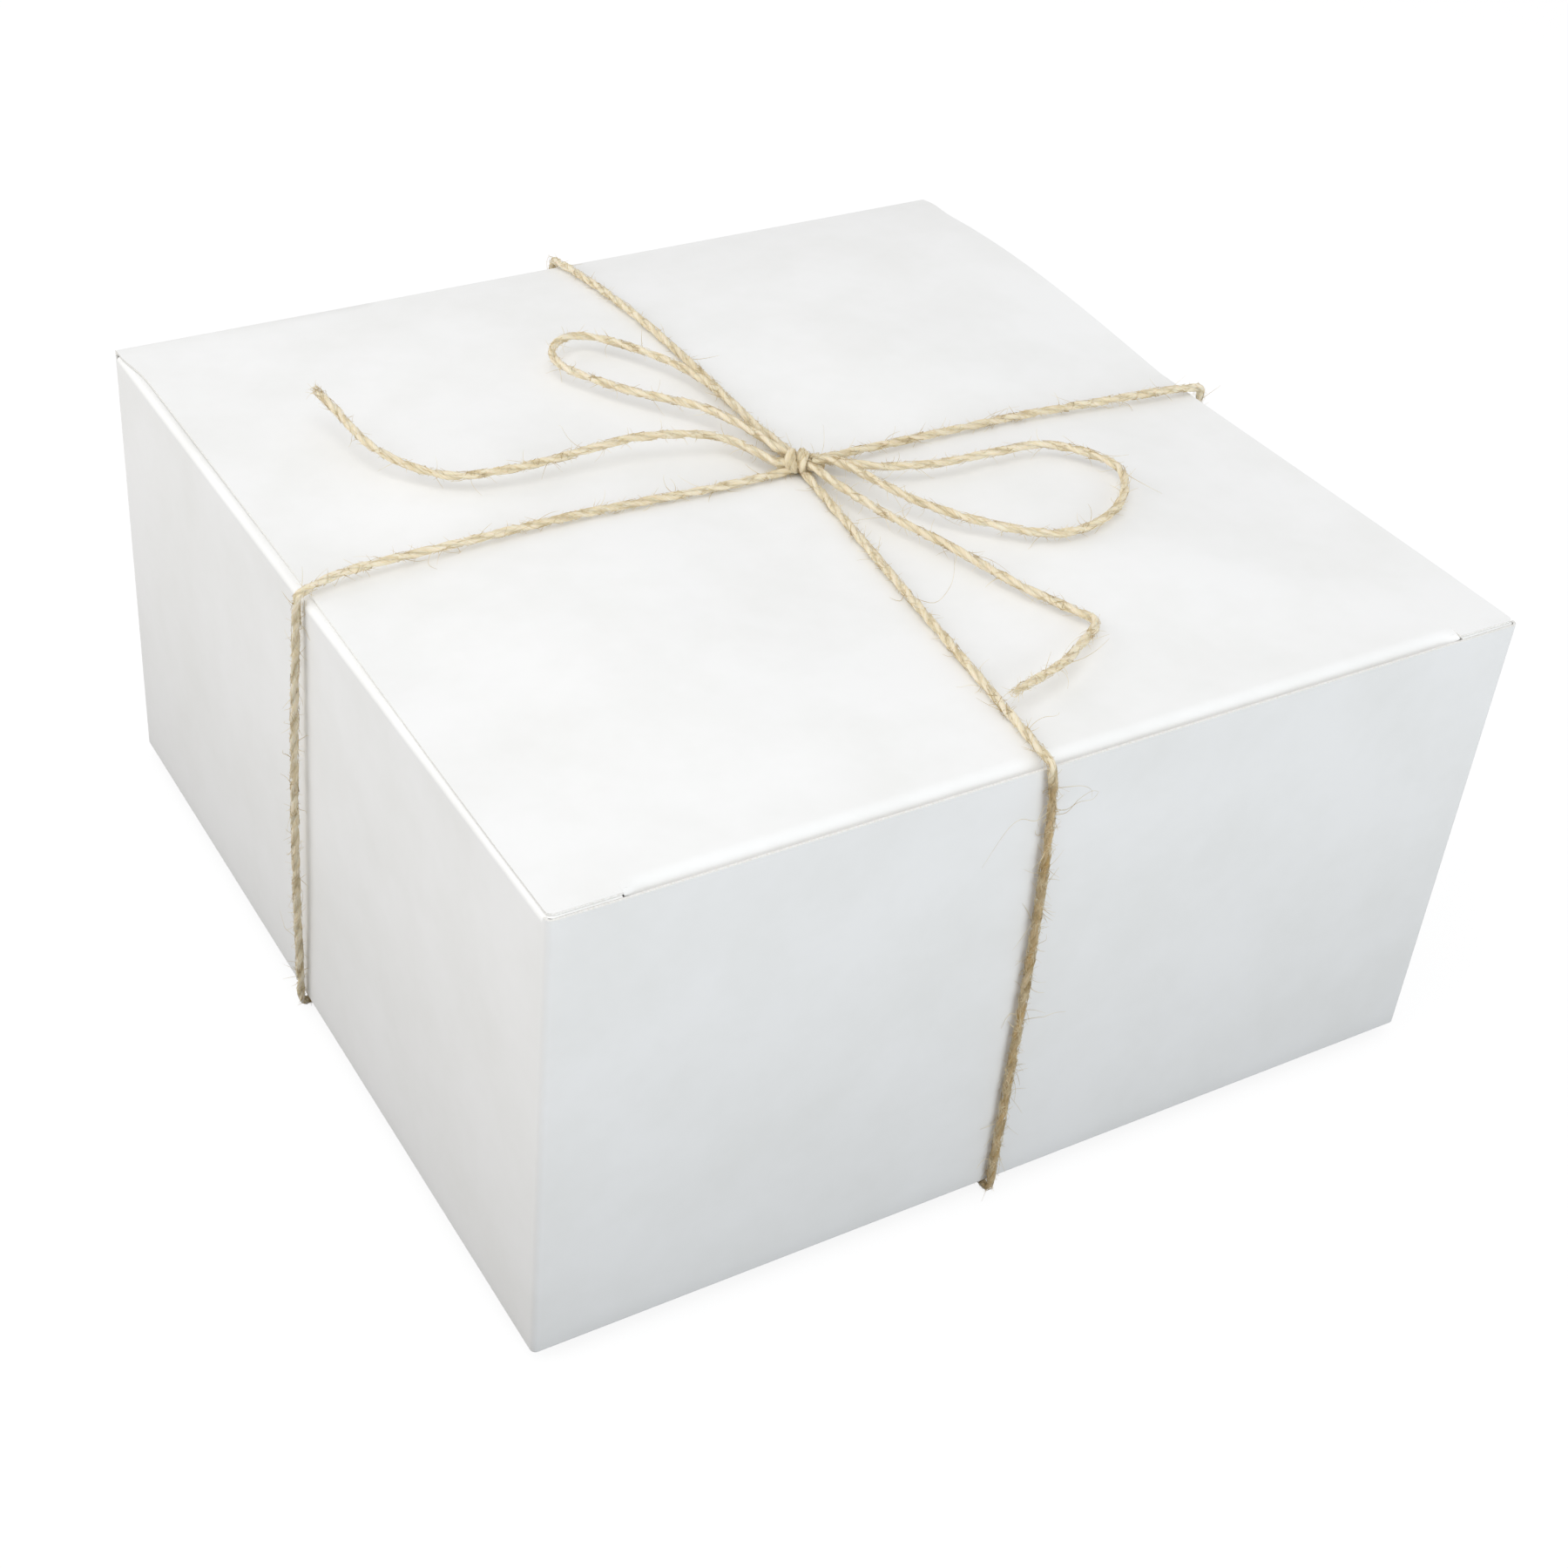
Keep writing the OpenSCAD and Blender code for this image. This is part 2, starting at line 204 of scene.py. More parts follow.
def dress(node: Piece, material: bpy.types.Material) -> None:
    """Give every slot of a CAD node one finish.

    Args:
        node: The CAD node.
        material: Its finish.
    """
    if not node.material_slots:
        node.data.materials.append(material)
    for held in node.material_slots:
        held.material = material


def steps(start: float, end: float, size: float) -> list[float]:
    """Places from start to end, both included, no further apart than size."""
    count = max(1, math.ceil(abs(end - start) / size - SLIGHT))
    return [start + (end - start) * i / count for i in range(count + 1)]


def joined_steps(stops: Sequence[float], size: float) -> list[float]:
    """Places that hit every stop, with none further apart than size.

    Args:
        stops: Places that must be in the list, in order.
        size: Widest gap allowed.

    Returns:
        All places in order.
    """
    out = [stops[0]]
    for a, b in zip(stops, stops[1:]):
        out += steps(a, b, size)[1:]
    return out


def ease(t: float) -> float:
    """Smooth step from 0 to 1 as t goes from 0 to 1."""
    t = min(1.0, max(0.0, t))
    return t * t * (3 - 2 * t)


class Body(Enum):
    """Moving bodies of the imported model."""

    CARTON = "carton"
    LID = "lid"
    TUCK = "tuck"
    DUST_LEFT = "dust_left"
    DUST_RIGHT = "dust_right"
    BOW = "bow"


class Slot(Enum):
    """Material slots of the record."""

    BOARD = "board"
    BOARD_INSIDE = "board_inside"
    TWINE = "twine"


@dataclass(frozen=True)
class Levels:
    """Faces and heights of the folded box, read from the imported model.

    It also holds the sizes that several panels share: the radii of the creases, where the dust
    flaps lie against the walls, and the width of the tabs at the lid's front corners.
    """

    half_w: float
    half_d: float
    floor_z: float
    crease_z: float
    side_z: float
    lid_half_w: float
    tab_y: float
    tuck_half: float
    twine_r: float
    twine_gap: float = 0.1
    corner_r: float = 1.2
    lid_crease_r: float = 1.2
    dust_crease_r: float = 1.3
    dust_gap: float = 0.05
    dust_root: float = 2.1
    dust_drop: float = 0.05
    tab_w: float = 12.0

    @classmethod
    def measured(cls) -> "Levels":
        """Read the levels from the CAD nodes' boxes.

        Returns:
            The levels in millimetres.
        """
        front_low, front_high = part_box("front_wall")
        lid_low, lid_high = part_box("lid_panel")
        base_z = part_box("base_front_flap")[0].z
        return cls(
            half_w=front_high.x / MM,
            half_d=-front_low.y / MM,
            floor_z=base_z / MM,
            crease_z=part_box("back_wall")[1].z / MM,
            side_z=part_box("left_wall")[1].z / MM,
            lid_half_w=lid_high.x / MM,
            tab_y=lid_low.y / MM,
            tuck_half=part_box("tuck_flap")[1].x / MM,
            twine_r=(base_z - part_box("twine_base_cross")[0].z) / MM / 2 - cls.twine_gap / 2,
        )

    @property
    def board_t(self) -> float:
        """Thickness of the paperboard."""
        return self.crease_z - self.side_z

    @property
    def lid_z(self) -> float:
        """Height of the flat lid's top face."""
        return self.crease_z + self.board_t

    @property
    def wall_off(self) -> float:
        """Distance from a face to the centre line of the twine on it."""
        return self.twine_gap + self.twine_r

    @property
    def slit_x(self) -> float:
        """Place of the slit between the front fold and a corner tab."""
        return self.lid_half_w - self.tab_w

    @property
    def dust_z(self) -> float:
        """Height of the dust flaps' upper face."""
        return self.side_z + self.board_t - self.dust_drop


# ---------------------------------------------------------------- finishes


@dataclass(frozen=True)
class ClayCoatedBoard:
    """Outer face of white paperboard: clay-coated and calendered on the board machine.

    It gives the eye a clean, nearly neutral white with a soft satin sheen, faint clouding
    where the fibre below is denser, and a fine tooth that only raking light shows.
    """

    name: str = "clay_coated_board"
    light: str = "#f6f6f5"
    cloud: str = "#f1f1ef"
    cloud_mm: float = 26.0
    tooth_mm: float = 0.9
    tooth_deep_mm: float = 0.05
    roughness: float = 0.58
    smoother: float = 0.05
    rougher: float = 0.06
    ior: float = 1.5

    def build(self) -> bpy.types.Material:
        """Make the material.

        Returns:
            The material.
        """
        made, tree, place = new_material(self.name)
        cloud = add_node(
            tree, "ShaderNodeTexNoise",
            inputs={"Vector": place, "Scale": 1 / (self.cloud_mm * MM), "Detail": 4.0, "Roughness": 0.62},
        )
        # The real tooth is under 0.1 mm, so it is drawn coarser to show at all.
        tooth = add_node(
            tree, "ShaderNodeTexNoise",
            inputs={"Vector": place, "Scale": 1 / (self.tooth_mm * MM), "Detail": 3.0, "Roughness": 0.7},
        )
        colour = add_node(
            tree, "ShaderNodeValToRGB", inputs={"Fac": cloud.outputs["Fac"]},
            stops=[(0.3, self.cloud), (0.62, self.light)],
        )
        rough = add_node(
            tree, "ShaderNodeMapRange",
            inputs={"Value": cloud.outputs["Fac"], "To Min": self.roughness - self.smoother,
                    "To Max": self.roughness + self.rougher},
        )
        bump = add_node(
            tree, "ShaderNodeBump",
            inputs={"Height": tooth.outputs["Fac"], "Strength": 0.12,
                    "Distance": self.tooth_deep_mm * MM},
        )
        shader = add_node(
            tree, "ShaderNodeBsdfPrincipled",
            inputs={"Base Color": colour.outputs["Color"], "Roughness": rough.outputs["Result"],
                    "IOR": self.ior, "Specular IOR Level": 0.3, "Normal": bump.outputs["Normal"]},
        )
        add_node(tree, "ShaderNodeOutputMaterial", inputs={"Surface": shader.outputs["BSDF"]})
        return made


@dataclass(frozen=True)
class UncoatedBoardBack:
    """Inner face of the paperboard: bare bleached pulp, as it leaves the felt.

    It gives the eye a slightly creamier, dead matt white with short darker fibre flecks.
    """

    name: str = "uncoated_board_back"
    pulp: str = "#efede8"
    fleck: str = "#dcd8cf"
    fleck_mm: float = 1.6
    nap_mm: float = 0.08
    roughness: float = 0.88
    ior: float = 1.45

    def build(self) -> bpy.types.Material:
        """Make the material.

        Returns:
            The material.
        """
        made, tree, place = new_material(self.name)
        fibre = add_node(
            tree, "ShaderNodeTexNoise",
            inputs={"Vector": place, "Scale": 1 / (self.fleck_mm * MM), "Detail": 5.0,
                    "Roughness": 0.75, "Distortion": 1.8},
        )
        colour = add_node(
            tree, "ShaderNodeValToRGB", inputs={"Fac": fibre.outputs["Fac"]},
            stops=[(0.3, self.fleck), (0.48, self.pulp)],
        )
        bump = add_node(
            tree, "ShaderNodeBump",
            inputs={"Height": fibre.outputs["Fac"], "Strength": 0.25,
                    "Distance": self.nap_mm * MM},
        )
        shader = add_node(
            tree, "ShaderNodeBsdfPrincipled",
            inputs={"Base Color": colour.outputs["Color"], "Roughness": self.roughness,
                    "IOR": self.ior, "Specular IOR Level": 0.2, "Normal": bump.outputs["Normal"]},
        )
        add_node(tree, "ShaderNodeOutputMaterial", inputs={"Surface": shader.outputs["BSDF"]})
        return made


@dataclass(frozen=True)
class DieCutEdge:
    """Cut edge of the board: the layers of pulp that the die parted.

    It gives the eye a thin, matt, slightly grey and warm line beside the brighter faces.
    """

    name: str = "die_cut_edge"
    light: str = "#f0efec"
    dark: str = "#e2e0db"
    layer_mm: float = 0.35
    roughness: float = 0.92

    def build(self) -> bpy.types.Material:
        """Make the material.

        Returns:
            The material.
        """
        made, tree, place = new_material(self.name)
        pulp = add_node(
            tree, "ShaderNodeTexNoise",
            inputs={"Vector": place, "Scale": 1 / (self.layer_mm * MM), "Detail": 2.0},
        )
        colour = add_node(
            tree, "ShaderNodeValToRGB", inputs={"Fac": pulp.outputs["Fac"]},
            stops=[(0.35, self.dark), (0.65, self.light)],
        )
        shader = add_node(
            tree, "ShaderNodeBsdfPrincipled",
            inputs={"Base Color": colour.outputs["Color"], "Roughness": self.roughness,
                    "Specular IOR Level": 0.15},
        )
        add_node(tree, "ShaderNodeOutputMaterial", inputs={"Surface": shader.outputs["BSDF"]})
        return made


@dataclass(frozen=True)
class SpunJute:
    """Two-ply jute twine: bast fibre, softened with oil, spun and laid.

    It gives the eye a pale straw colour in long streaks that follow each ply, with a dull silky
    glow on the crowns and painted brown shade down in the groove between the plies. A little light
    comes through the fibre, which warms its shaded side. The stretches down the walls carry
    painted shade as well, a browner darkening whose strength each arm sets.
    """

    name: str = "spun_jute"
    dark: str = "#c9b388"
    mid: str = "#e4d6b7"
    light: str = "#ede3cd"
    # Darker, browner colour multiplied in as painted shade on the strands down the walls.
    cast: str = "#caa862"
    streak_mm: float = 0.32
    streak_length_mm: float = 5.0
    streak_deep_mm: float = 0.12
    patch_mm: float = 14.0
    patch_share: float = 0.35
    groove_shade: float = 0.16
    roughness: float = 0.8
    sheen: float = 0.35
    glow: float = 0.3
    glow_mm: float = 0.6
    glow_reach: tuple[float, float, float] = (1.0, 0.75, 0.45)

    def build(self) -> bpy.types.Material:
        """Make the material.

        Returns:
            The material.
        """
        made, tree, place = new_material(self.name)
        # fibre_co runs along the ply in x and round it in y and z, in millimetres.
        along = add_node(
            tree, "ShaderNodeAttribute",
            {"attribute_type": "GEOMETRY", "attribute_name": "fibre_co"},
        ).outputs["Vector"]
        stretched = add_node(
            tree, "ShaderNodeMapping",
            inputs={"Vector": along,
                    "Scale": (1 / self.streak_length_mm, 1 / self.streak_mm, 1 / self.streak_mm)},
        ).outputs["Vector"]
        streak = add_node(
            tree, "ShaderNodeTexNoise",
            inputs={"Vector": stretched, "Scale": 1.0, "Detail": 3.0, "Roughness": 0.65,
                    "Distortion": 0.25},
        ).outputs["Fac"]
        patch = add_node(
            tree, "ShaderNodeTexNoise",
            inputs={"Vector": place, "Scale": 1 / (self.patch_mm * MM), "Detail": 2.0},
        ).outputs["Fac"]
        # Painted shade: the groove attribute marks the side of each ply that faces the other, which is
        # darkened below.
        groove = add_node(
            tree, "ShaderNodeAttribute", {"attribute_type": "GEOMETRY", "attribute_name": "groove"},
        ).outputs["Fac"]
        mixed = add_node(
            tree, "ShaderNodeMath", {"operation": "MULTIPLY_ADD"},
            {0: patch, 1: self.patch_share, 2: streak},
        ).outputs["Value"]
        shaded = add_node(
            tree, "ShaderNodeMath", {"operation": "MULTIPLY_ADD"},
            {0: groove, 1: -self.groove_shade, 2: mixed},
        ).outputs["Value"]
        colour = add_node(
            tree, "ShaderNodeValToRGB", inputs={"Fac": shaded},
            stops=[(0.3, self.dark), (0.55, self.mid), (0.8, self.light)],
        ).outputs["Color"]
        # Painted shade down the walls: the tone attribute multiplies in the darker, browner colour.
        tone = add_node(
            tree, "ShaderNodeAttribute", {"attribute_type": "GEOMETRY", "attribute_name": "tone"},
        ).outputs["Fac"]
        # A mix of colours has its factor at 0, its colours at 6 and 7, and its result at 2.
        wall_shaded = add_node(
            tree, "ShaderNodeMix", {"data_type": "RGBA", "blend_type": "MULTIPLY"},
            {0: tone, 6: colour, 7: linear(self.cast)},
        ).outputs[2]
        bump = add_node(
            tree, "ShaderNodeBump",
            inputs={"Height": streak, "Strength": 0.8, "Distance": self.streak_deep_mm * MM},
        )
        shader = add_node(
            tree, "ShaderNodeBsdfPrincipled",
            inputs={"Base Color": wall_shaded, "Roughness": self.roughness, "Specular IOR Level": 0.25,
                    "Sheen Weight": self.sheen, "Sheen Roughness": 0.5,
                    "Sheen Tint": linear(self.light), "Subsurface Weight": self.glow,
                    "Subsurface Radius": self.glow_reach, "Subsurface Scale": self.glow_mm * MM,
                    "Normal": bump.outputs["Normal"]},
        )
        add_node(tree, "ShaderNodeOutputMaterial", inputs={"Surface": shader.outputs["BSDF"]})
        return made


@dataclass(frozen=True)
class LooseJuteFibre:
    """Single bast fibres that work out of the twine as it is spun.

    They give the eye fine, pale and slightly glossy hairs.
    """

    name: str = "loose_jute_fibre"
    light: str = "#eadbb8"
    dark: str = "#c4ad7e"
    patch_mm: float = 4.0
    roughness: float = 0.6

    def build(self) -> bpy.types.Material:
        """Make the material.

        Returns:
            The material.
        """
        made, tree, place = new_material(self.name)
        patch = add_node(
            tree, "ShaderNodeTexNoise",
            inputs={"Vector": place, "Scale": 1 / (self.patch_mm * MM), "Detail": 1.0},
        ).outputs["Fac"]
        colour = add_node(
            tree, "ShaderNodeValToRGB", inputs={"Fac": patch},
            stops=[(0.35, self.dark), (0.6, self.light)],
        ).outputs["Color"]
        shader = add_node(
            tree, "ShaderNodeBsdfPrincipled",
            inputs={"Base Color": colour, "Roughness": self.roughness, "Specular IOR Level": 0.3},
        )
        add_node(tree, "ShaderNodeOutputMaterial", inputs={"Surface": shader.outputs["BSDF"]})
        return made


@dataclass(frozen=True)
class WhiteSweep:
    """Studio sweep of matt white paper.

    It gives the eye plain white with a soft shadow beside the box. To every other ray it is
    paper with a painted shadow, darker beside the box, so the walls fall off towards their feet.
    """

    name: str = "white_sweep"
    # Painted shadow colours of the floor for bounced light: beside the box, and far from it.
    near: str = "#303030"
    far: str = "#c4c4c4"
    faint: str = "#6e6e6e"
    white: str = "#ffffff"
    glow: float = 0.88
    shade_mm: tuple[float, float] = (110.0, 330.0)

    def build(self) -> bpy.types.Material:
        """Make the material.

        Returns:
            The material.
        """
        made, tree, place = new_material(self.name)
        paths = add_node(tree, "ShaderNodeLightPath").outputs
        seen = paths["Is Camera Ray"]
        for ray in ("Is Glossy Ray", "Is Transmission Ray"):
            seen = add_node(
                tree, "ShaderNodeMath", {"operation": "MAXIMUM"}, {0: seen, 1: paths[ray]}
            ).outputs["Value"]
        # Painted shadow for every ray but the eye's: the floor is darkest beside the box and lightens
        # further out.
        apart = add_node(tree, "ShaderNodeSeparateXYZ", inputs={"Vector": place}).outputs
        sizes = [
            add_node(tree, "ShaderNodeMath", {"operation": "ABSOLUTE"}, {0: apart[axis]}).outputs["Value"]
            for axis in ("X", "Y")
        ]
        away = add_node(
            tree, "ShaderNodeMath", {"operation": "MAXIMUM"}, {0: sizes[0], 1: sizes[1]}
        ).outputs["Value"]
        shade = add_node(
            tree, "ShaderNodeMapRange", {"interpolation_type": "SMOOTHSTEP"},
            {"Value": away, "From Min": self.shade_mm[0] * MM, "From Max": self.shade_mm[1] * MM},
        ).outputs["Result"]
        bounce = add_node(
            tree, "ShaderNodeValToRGB", inputs={"Fac": shade}, stops=[(0.0, self.near), (1.0, self.far)]
        ).outputs["Color"]
        plain = add_node(tree, "ShaderNodeBsdfDiffuse", inputs={"Color": bounce})
        faint = add_node(tree, "ShaderNodeBsdfDiffuse", inputs={"Color": linear(self.faint)})
        glow = add_node(
            tree, "ShaderNodeEmission", inputs={"Color": linear(self.white), "Strength": self.glow}
        )
        both = add_node(
            tree, "ShaderNodeAddShader", inputs={0: faint.outputs["BSDF"], 1: glow.outputs["Emission"]}
        )
        mix = add_node(
            tree, "ShaderNodeMixShader",
            inputs={"Fac": seen, 1: plain.outputs["BSDF"], 2: both.outputs["Shader"]},
        )
        add_node(tree, "ShaderNodeOutputMaterial", inputs={"Surface": mix.outputs["Shader"]})
        return made


@dataclass(frozen=True)
class Finishes:
    """Every finish of the box, made once and shared."""

    board: bpy.types.Material
    inside: bpy.types.Material
    edge: bpy.types.Material
    jute: bpy.types.Material
    fibre: bpy.types.Material

    @classmethod
    def made(cls) -> "Finishes":
        """Build all the materials.

        Returns:
            The materials by their use.
        """
        return cls(
            board=ClayCoatedBoard().build(),
            inside=UncoatedBoardBack().build(),
            edge=DieCutEdge().build(),
            jute=SpunJute().build(),
            fibre=LooseJuteFibre().build(),
        )


# ---------------------------------------------------------------- folded board


@dataclass
class BoardSheet:
    """Sheet of board drawn on its outer face, then thickened inwards."""

    thickness: float
    finishes: Finishes
    points: list[tuple[float, float, float]] = field(default_factory=list)
    faces: list[tuple[int, ...]] = field(default_factory=list)
    seen: dict[tuple[int, int, int], int] = field(default_factory=dict)

    def point(self, x: float, y: float, z: float) -> int:
        """Number of the point at this place, which is made if it is new.

        Args:
            x: Place along X.
            y: Place along Y.
            z: Place along Z.

        Returns:
            The point's number in the sheet.
        """
        # Points within a thousandth of a millimetre are one.
        key = (round(x * 1000), round(y * 1000), round(z * 1000))
        if key not in self.seen:
            self.seen[key] = len(self.points)
            self.points.append((x, y, z))
        return self.seen[key]

    def patch(self, rows: Sequence[Sequence[Point]], flip: bool = False) -> None:
        """Add a grid of points as quads.

        Args:
            rows: Rows of points, each row as long as the next.
            flip: Whether the faces look the other way.
        """
        index = [[self.point(*p) for p in row] for row in rows]
        for low, high in zip(index, index[1:]):
            for k in range(len(low) - 1):
                face = (low[k], low[k + 1], high[k + 1], high[k])
                face = tuple(dict.fromkeys(face))
                if len(face) > 2:
                    self.faces.append(face[::-1] if flip else face)

    def build(self, name: str, outer: bpy.types.Material) -> Piece:
        """Thicken the sheet and make its object.

        Args:
            name: Name of the piece.
            outer: Finish of the outer face.

        Returns:
            The piece, with its inner face and cut edges dressed.
        """
        made = mesh_object(
            name, np.array(self.points), self.faces, [outer, self.finishes.inside, self.finishes.edge]
        )
        solid = made.modifiers.new("board", "SOLIDIFY")
        solid.thickness = self.thickness * MM
        solid.offset = -1
        solid.use_even_offset = True
        solid.use_quality_normals = True
        solid.material_offset = 1
        solid.material_offset_rim = 2
        apply_modifiers(made)
        return made


class Wall(Enum):
    """Walls of the strip, and the upright creases between them."""

    BACK = 0
    RIGHT = 1
    FRONT = 2
    LEFT = 3
    CORNER = 4


class Station(NamedTuple):
    """Upright line on the strip of walls: its place, its inward direction and its wall."""

    x: float
    y: float
    in_x: float
    in_y: float
    wall: Wall


@dataclass
class Carton:
    """Four walls folded from one strip, with the glued seam and the locking base."""

    levels: Levels
    finishes: Finishes
    curl_r: float = 0.6
    curl_end: float = 80.0
    curl_step: float = 16.0
    corner_step: float = 15.0
    crease_half: float = 100.75
    top_gap: float = 0.1
    notch: float = 0.25
    seam_short: float = 0.45
    seam_clear: float = 0.05
    sag: float = 0.3
    sag_side: float = 0.25
    sag_base: float = 0.25
    sag_top: float = 0.12
    wave_across: float = 0.013
    wave_up: float = 0.016
    wave_apart: float = 5.1
    cell: float = 4.0

    @property
    def dust_front(self) -> float:
        """Depth of the front end of the dust flaps' creases."""
        lv = self.levels
        return -lv.half_d + lv.board_t + lv.dust_gap + lv.corner_r

    @property
    def dust_rear(self) -> float:
        """Depth of the rear end of the dust flaps' creases."""
        return self.levels.half_d - self.levels.dust_root

    def stations(self) -> list[Station]:
        """Places round the strip, from the seam edge of the back wall to the seam flap.

        Returns:
            The stations in order.
        """
        lv = self.levels
        flat_w = lv.half_w - lv.corner_r
        flat_d = lv.half_d - lv.corner_r
        lap = lv.half_d - lv.board_t - lv.corner_r - self.seam_clear
        front = (self.dust_front - self.notch, self.dust_front)
        rear = (self.dust_rear, self.dust_rear + self.notch)
        back_xs = joined_steps([-lv.half_w + self.seam_short, -flat_w, flat_w], self.cell)
        right_ys = joined_steps([flat_d, *rear[::-1], *front[::-1], -flat_d], self.cell)
        front_xs = steps(flat_w, -flat_w, self.cell)
        left_ys = joined_steps([-flat_d, *front, *rear, lap], self.cell)
        out = [Station(x, lv.half_d, 0, -1, Wall.BACK) for x in back_xs]
        out += self.corner(flat_w, flat_d, 90, 0)
        out += [Station(lv.half_w, y, -1, 0, Wall.RIGHT) for y in right_ys]
        out += self.corner(flat_w, -flat_d, 0, -90)
        out += [Station(x, -lv.half_d, 0, 1, Wall.FRONT) for x in front_xs]
        out += self.corner(-flat_w, -flat_d, -90, -180)
        out += [Station(-lv.half_w, y, 1, 0, Wall.LEFT) for y in left_ys]
        out += self.corner(-flat_w, lap, 180, 90)
        return out

    def corner(self, x: float, y: float, start: float, end: float) -> list[Station]:
        """Places round an upright crease.

        Args:
            x: Centre of the crease along X.
            y: Centre of the crease along Y.
            start: First angle in degrees, which the strip has already.
            end: Last angle in degrees.

        Returns:
            Stations after the first angle, the last included.
        """
        r = self.levels.corner_r
        out = []
        for turn in steps(start, end, self.corner_step)[1:]:
            c = math.cos(math.radians(turn))
            s = math.sin(math.radians(turn))
            out.append(Station(x + r * c, y + r * s, -c, -s, Wall.CORNER))
        return out

    def top_at(self, at: Station) -> float:
        """Height of the strip's upper edge.

        Args:
            at: Station on the strip.

        Returns:
            The foot of the lid's or a dust flap's crease, or else the wall's free edge.
        """
        lv = self.levels
        if at.y > lv.half_d - lv.corner_r and abs(at.x) <= self.crease_half:
            return lv.lid_z - lv.lid_crease_r
        on_side = at.wall in (Wall.RIGHT, Wall.LEFT)
        if on_side and self.dust_front - TOUCH <= at.y <= self.dust_rear + TOUCH:
            return lv.dust_z - lv.dust_crease_r
        return lv.crease_z - self.top_gap

    def inset_at(self, at: Station, z: float) -> float:
        """How far a wall relaxes inwards between its creases.

        Args:
            at: Station on the strip.
            z: Height on it.

        Returns:
            Distance of the board from its true face.
        """
        lv = self.levels
        if at.wall is Wall.CORNER:
            return 0.0
        along = at.x / lv.half_w if at.wall in (Wall.BACK, Wall.FRONT) else at.y / lv.half_d
        up = (z - lv.floor_z) / (lv.lid_z - lv.floor_z)
        fade = ease((1 - abs(along)) / self.sag_side) * ease(up / self.sag_base)
        fade *= ease((1 - up) / self.sag_top)
        spot = Vector((
            at.x * self.wave_across, at.y * self.wave_across,
            z * self.wave_up + at.wall.value * self.wave_apart,
        ))
        return self.sag * fade * (0.5 + 0.5 * noise.noise(spot))

    def column(self, at: Station) -> list[Point]:
        """Points up a station, from the lower curl to the upper edge.

        Args:
            at: Station on the strip.

        Returns:
            The points, lowest first.
        """
        lv = self.levels
        out = []
        for turn in steps(self.curl_end, 0, self.curl_step):
            inset = self.curl_r * (1 - math.cos(math.radians(turn)))
            z = lv.floor_z + self.curl_r * (1 - math.sin(math.radians(turn)))
            out.append((at.x + at.in_x * inset, at.y + at.in_y * inset, z))
        base = lv.floor_z + self.curl_r
        top = self.top_at(at)
        for share in steps(0, 1, self.cell / lv.lid_z)[1:]:
            z = base + (top - base) * share
            inset = self.inset_at(at, z)
            out.append((at.x + at.in_x * inset, at.y + at.in_y * inset, z))
        return out

    def walls(self) -> Piece:
        """Build the strip of four walls with its creases, lower curl and raw edges.

        Returns:
            The piece, which stands for the four CAD walls.
        """
        sheet = BoardSheet(self.levels.board_t, self.finishes)
        sheet.patch([self.column(at) for at in self.stations()])
        made = sheet.build("wall_strip", self.finishes.board)
        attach(made, Body.CARTON.value)
        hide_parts("front_wall", "back_wall", "left_wall", "right_wall")
        return made

    def base(self) -> list[Piece]:
        """Dress the seam flap and the base flaps, whose CAD solids stay.

        Returns:
            The dressed solids.
        """
        inner = ("glue_flap", "base_back_flap", "base_left_flap", "base_right_flap")
        for name in inner:
            dress(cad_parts[name], self.finishes.inside)
        dress(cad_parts["base_front_flap"], self.finishes.board)
        return [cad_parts[name] for name in (*inner, "base_front_flap")]

    def build(self) -> list[Piece]:
        """Build and dress the carton.

        Returns:
            Its pieces.
        """
        return [self.walls(), *self.base()]


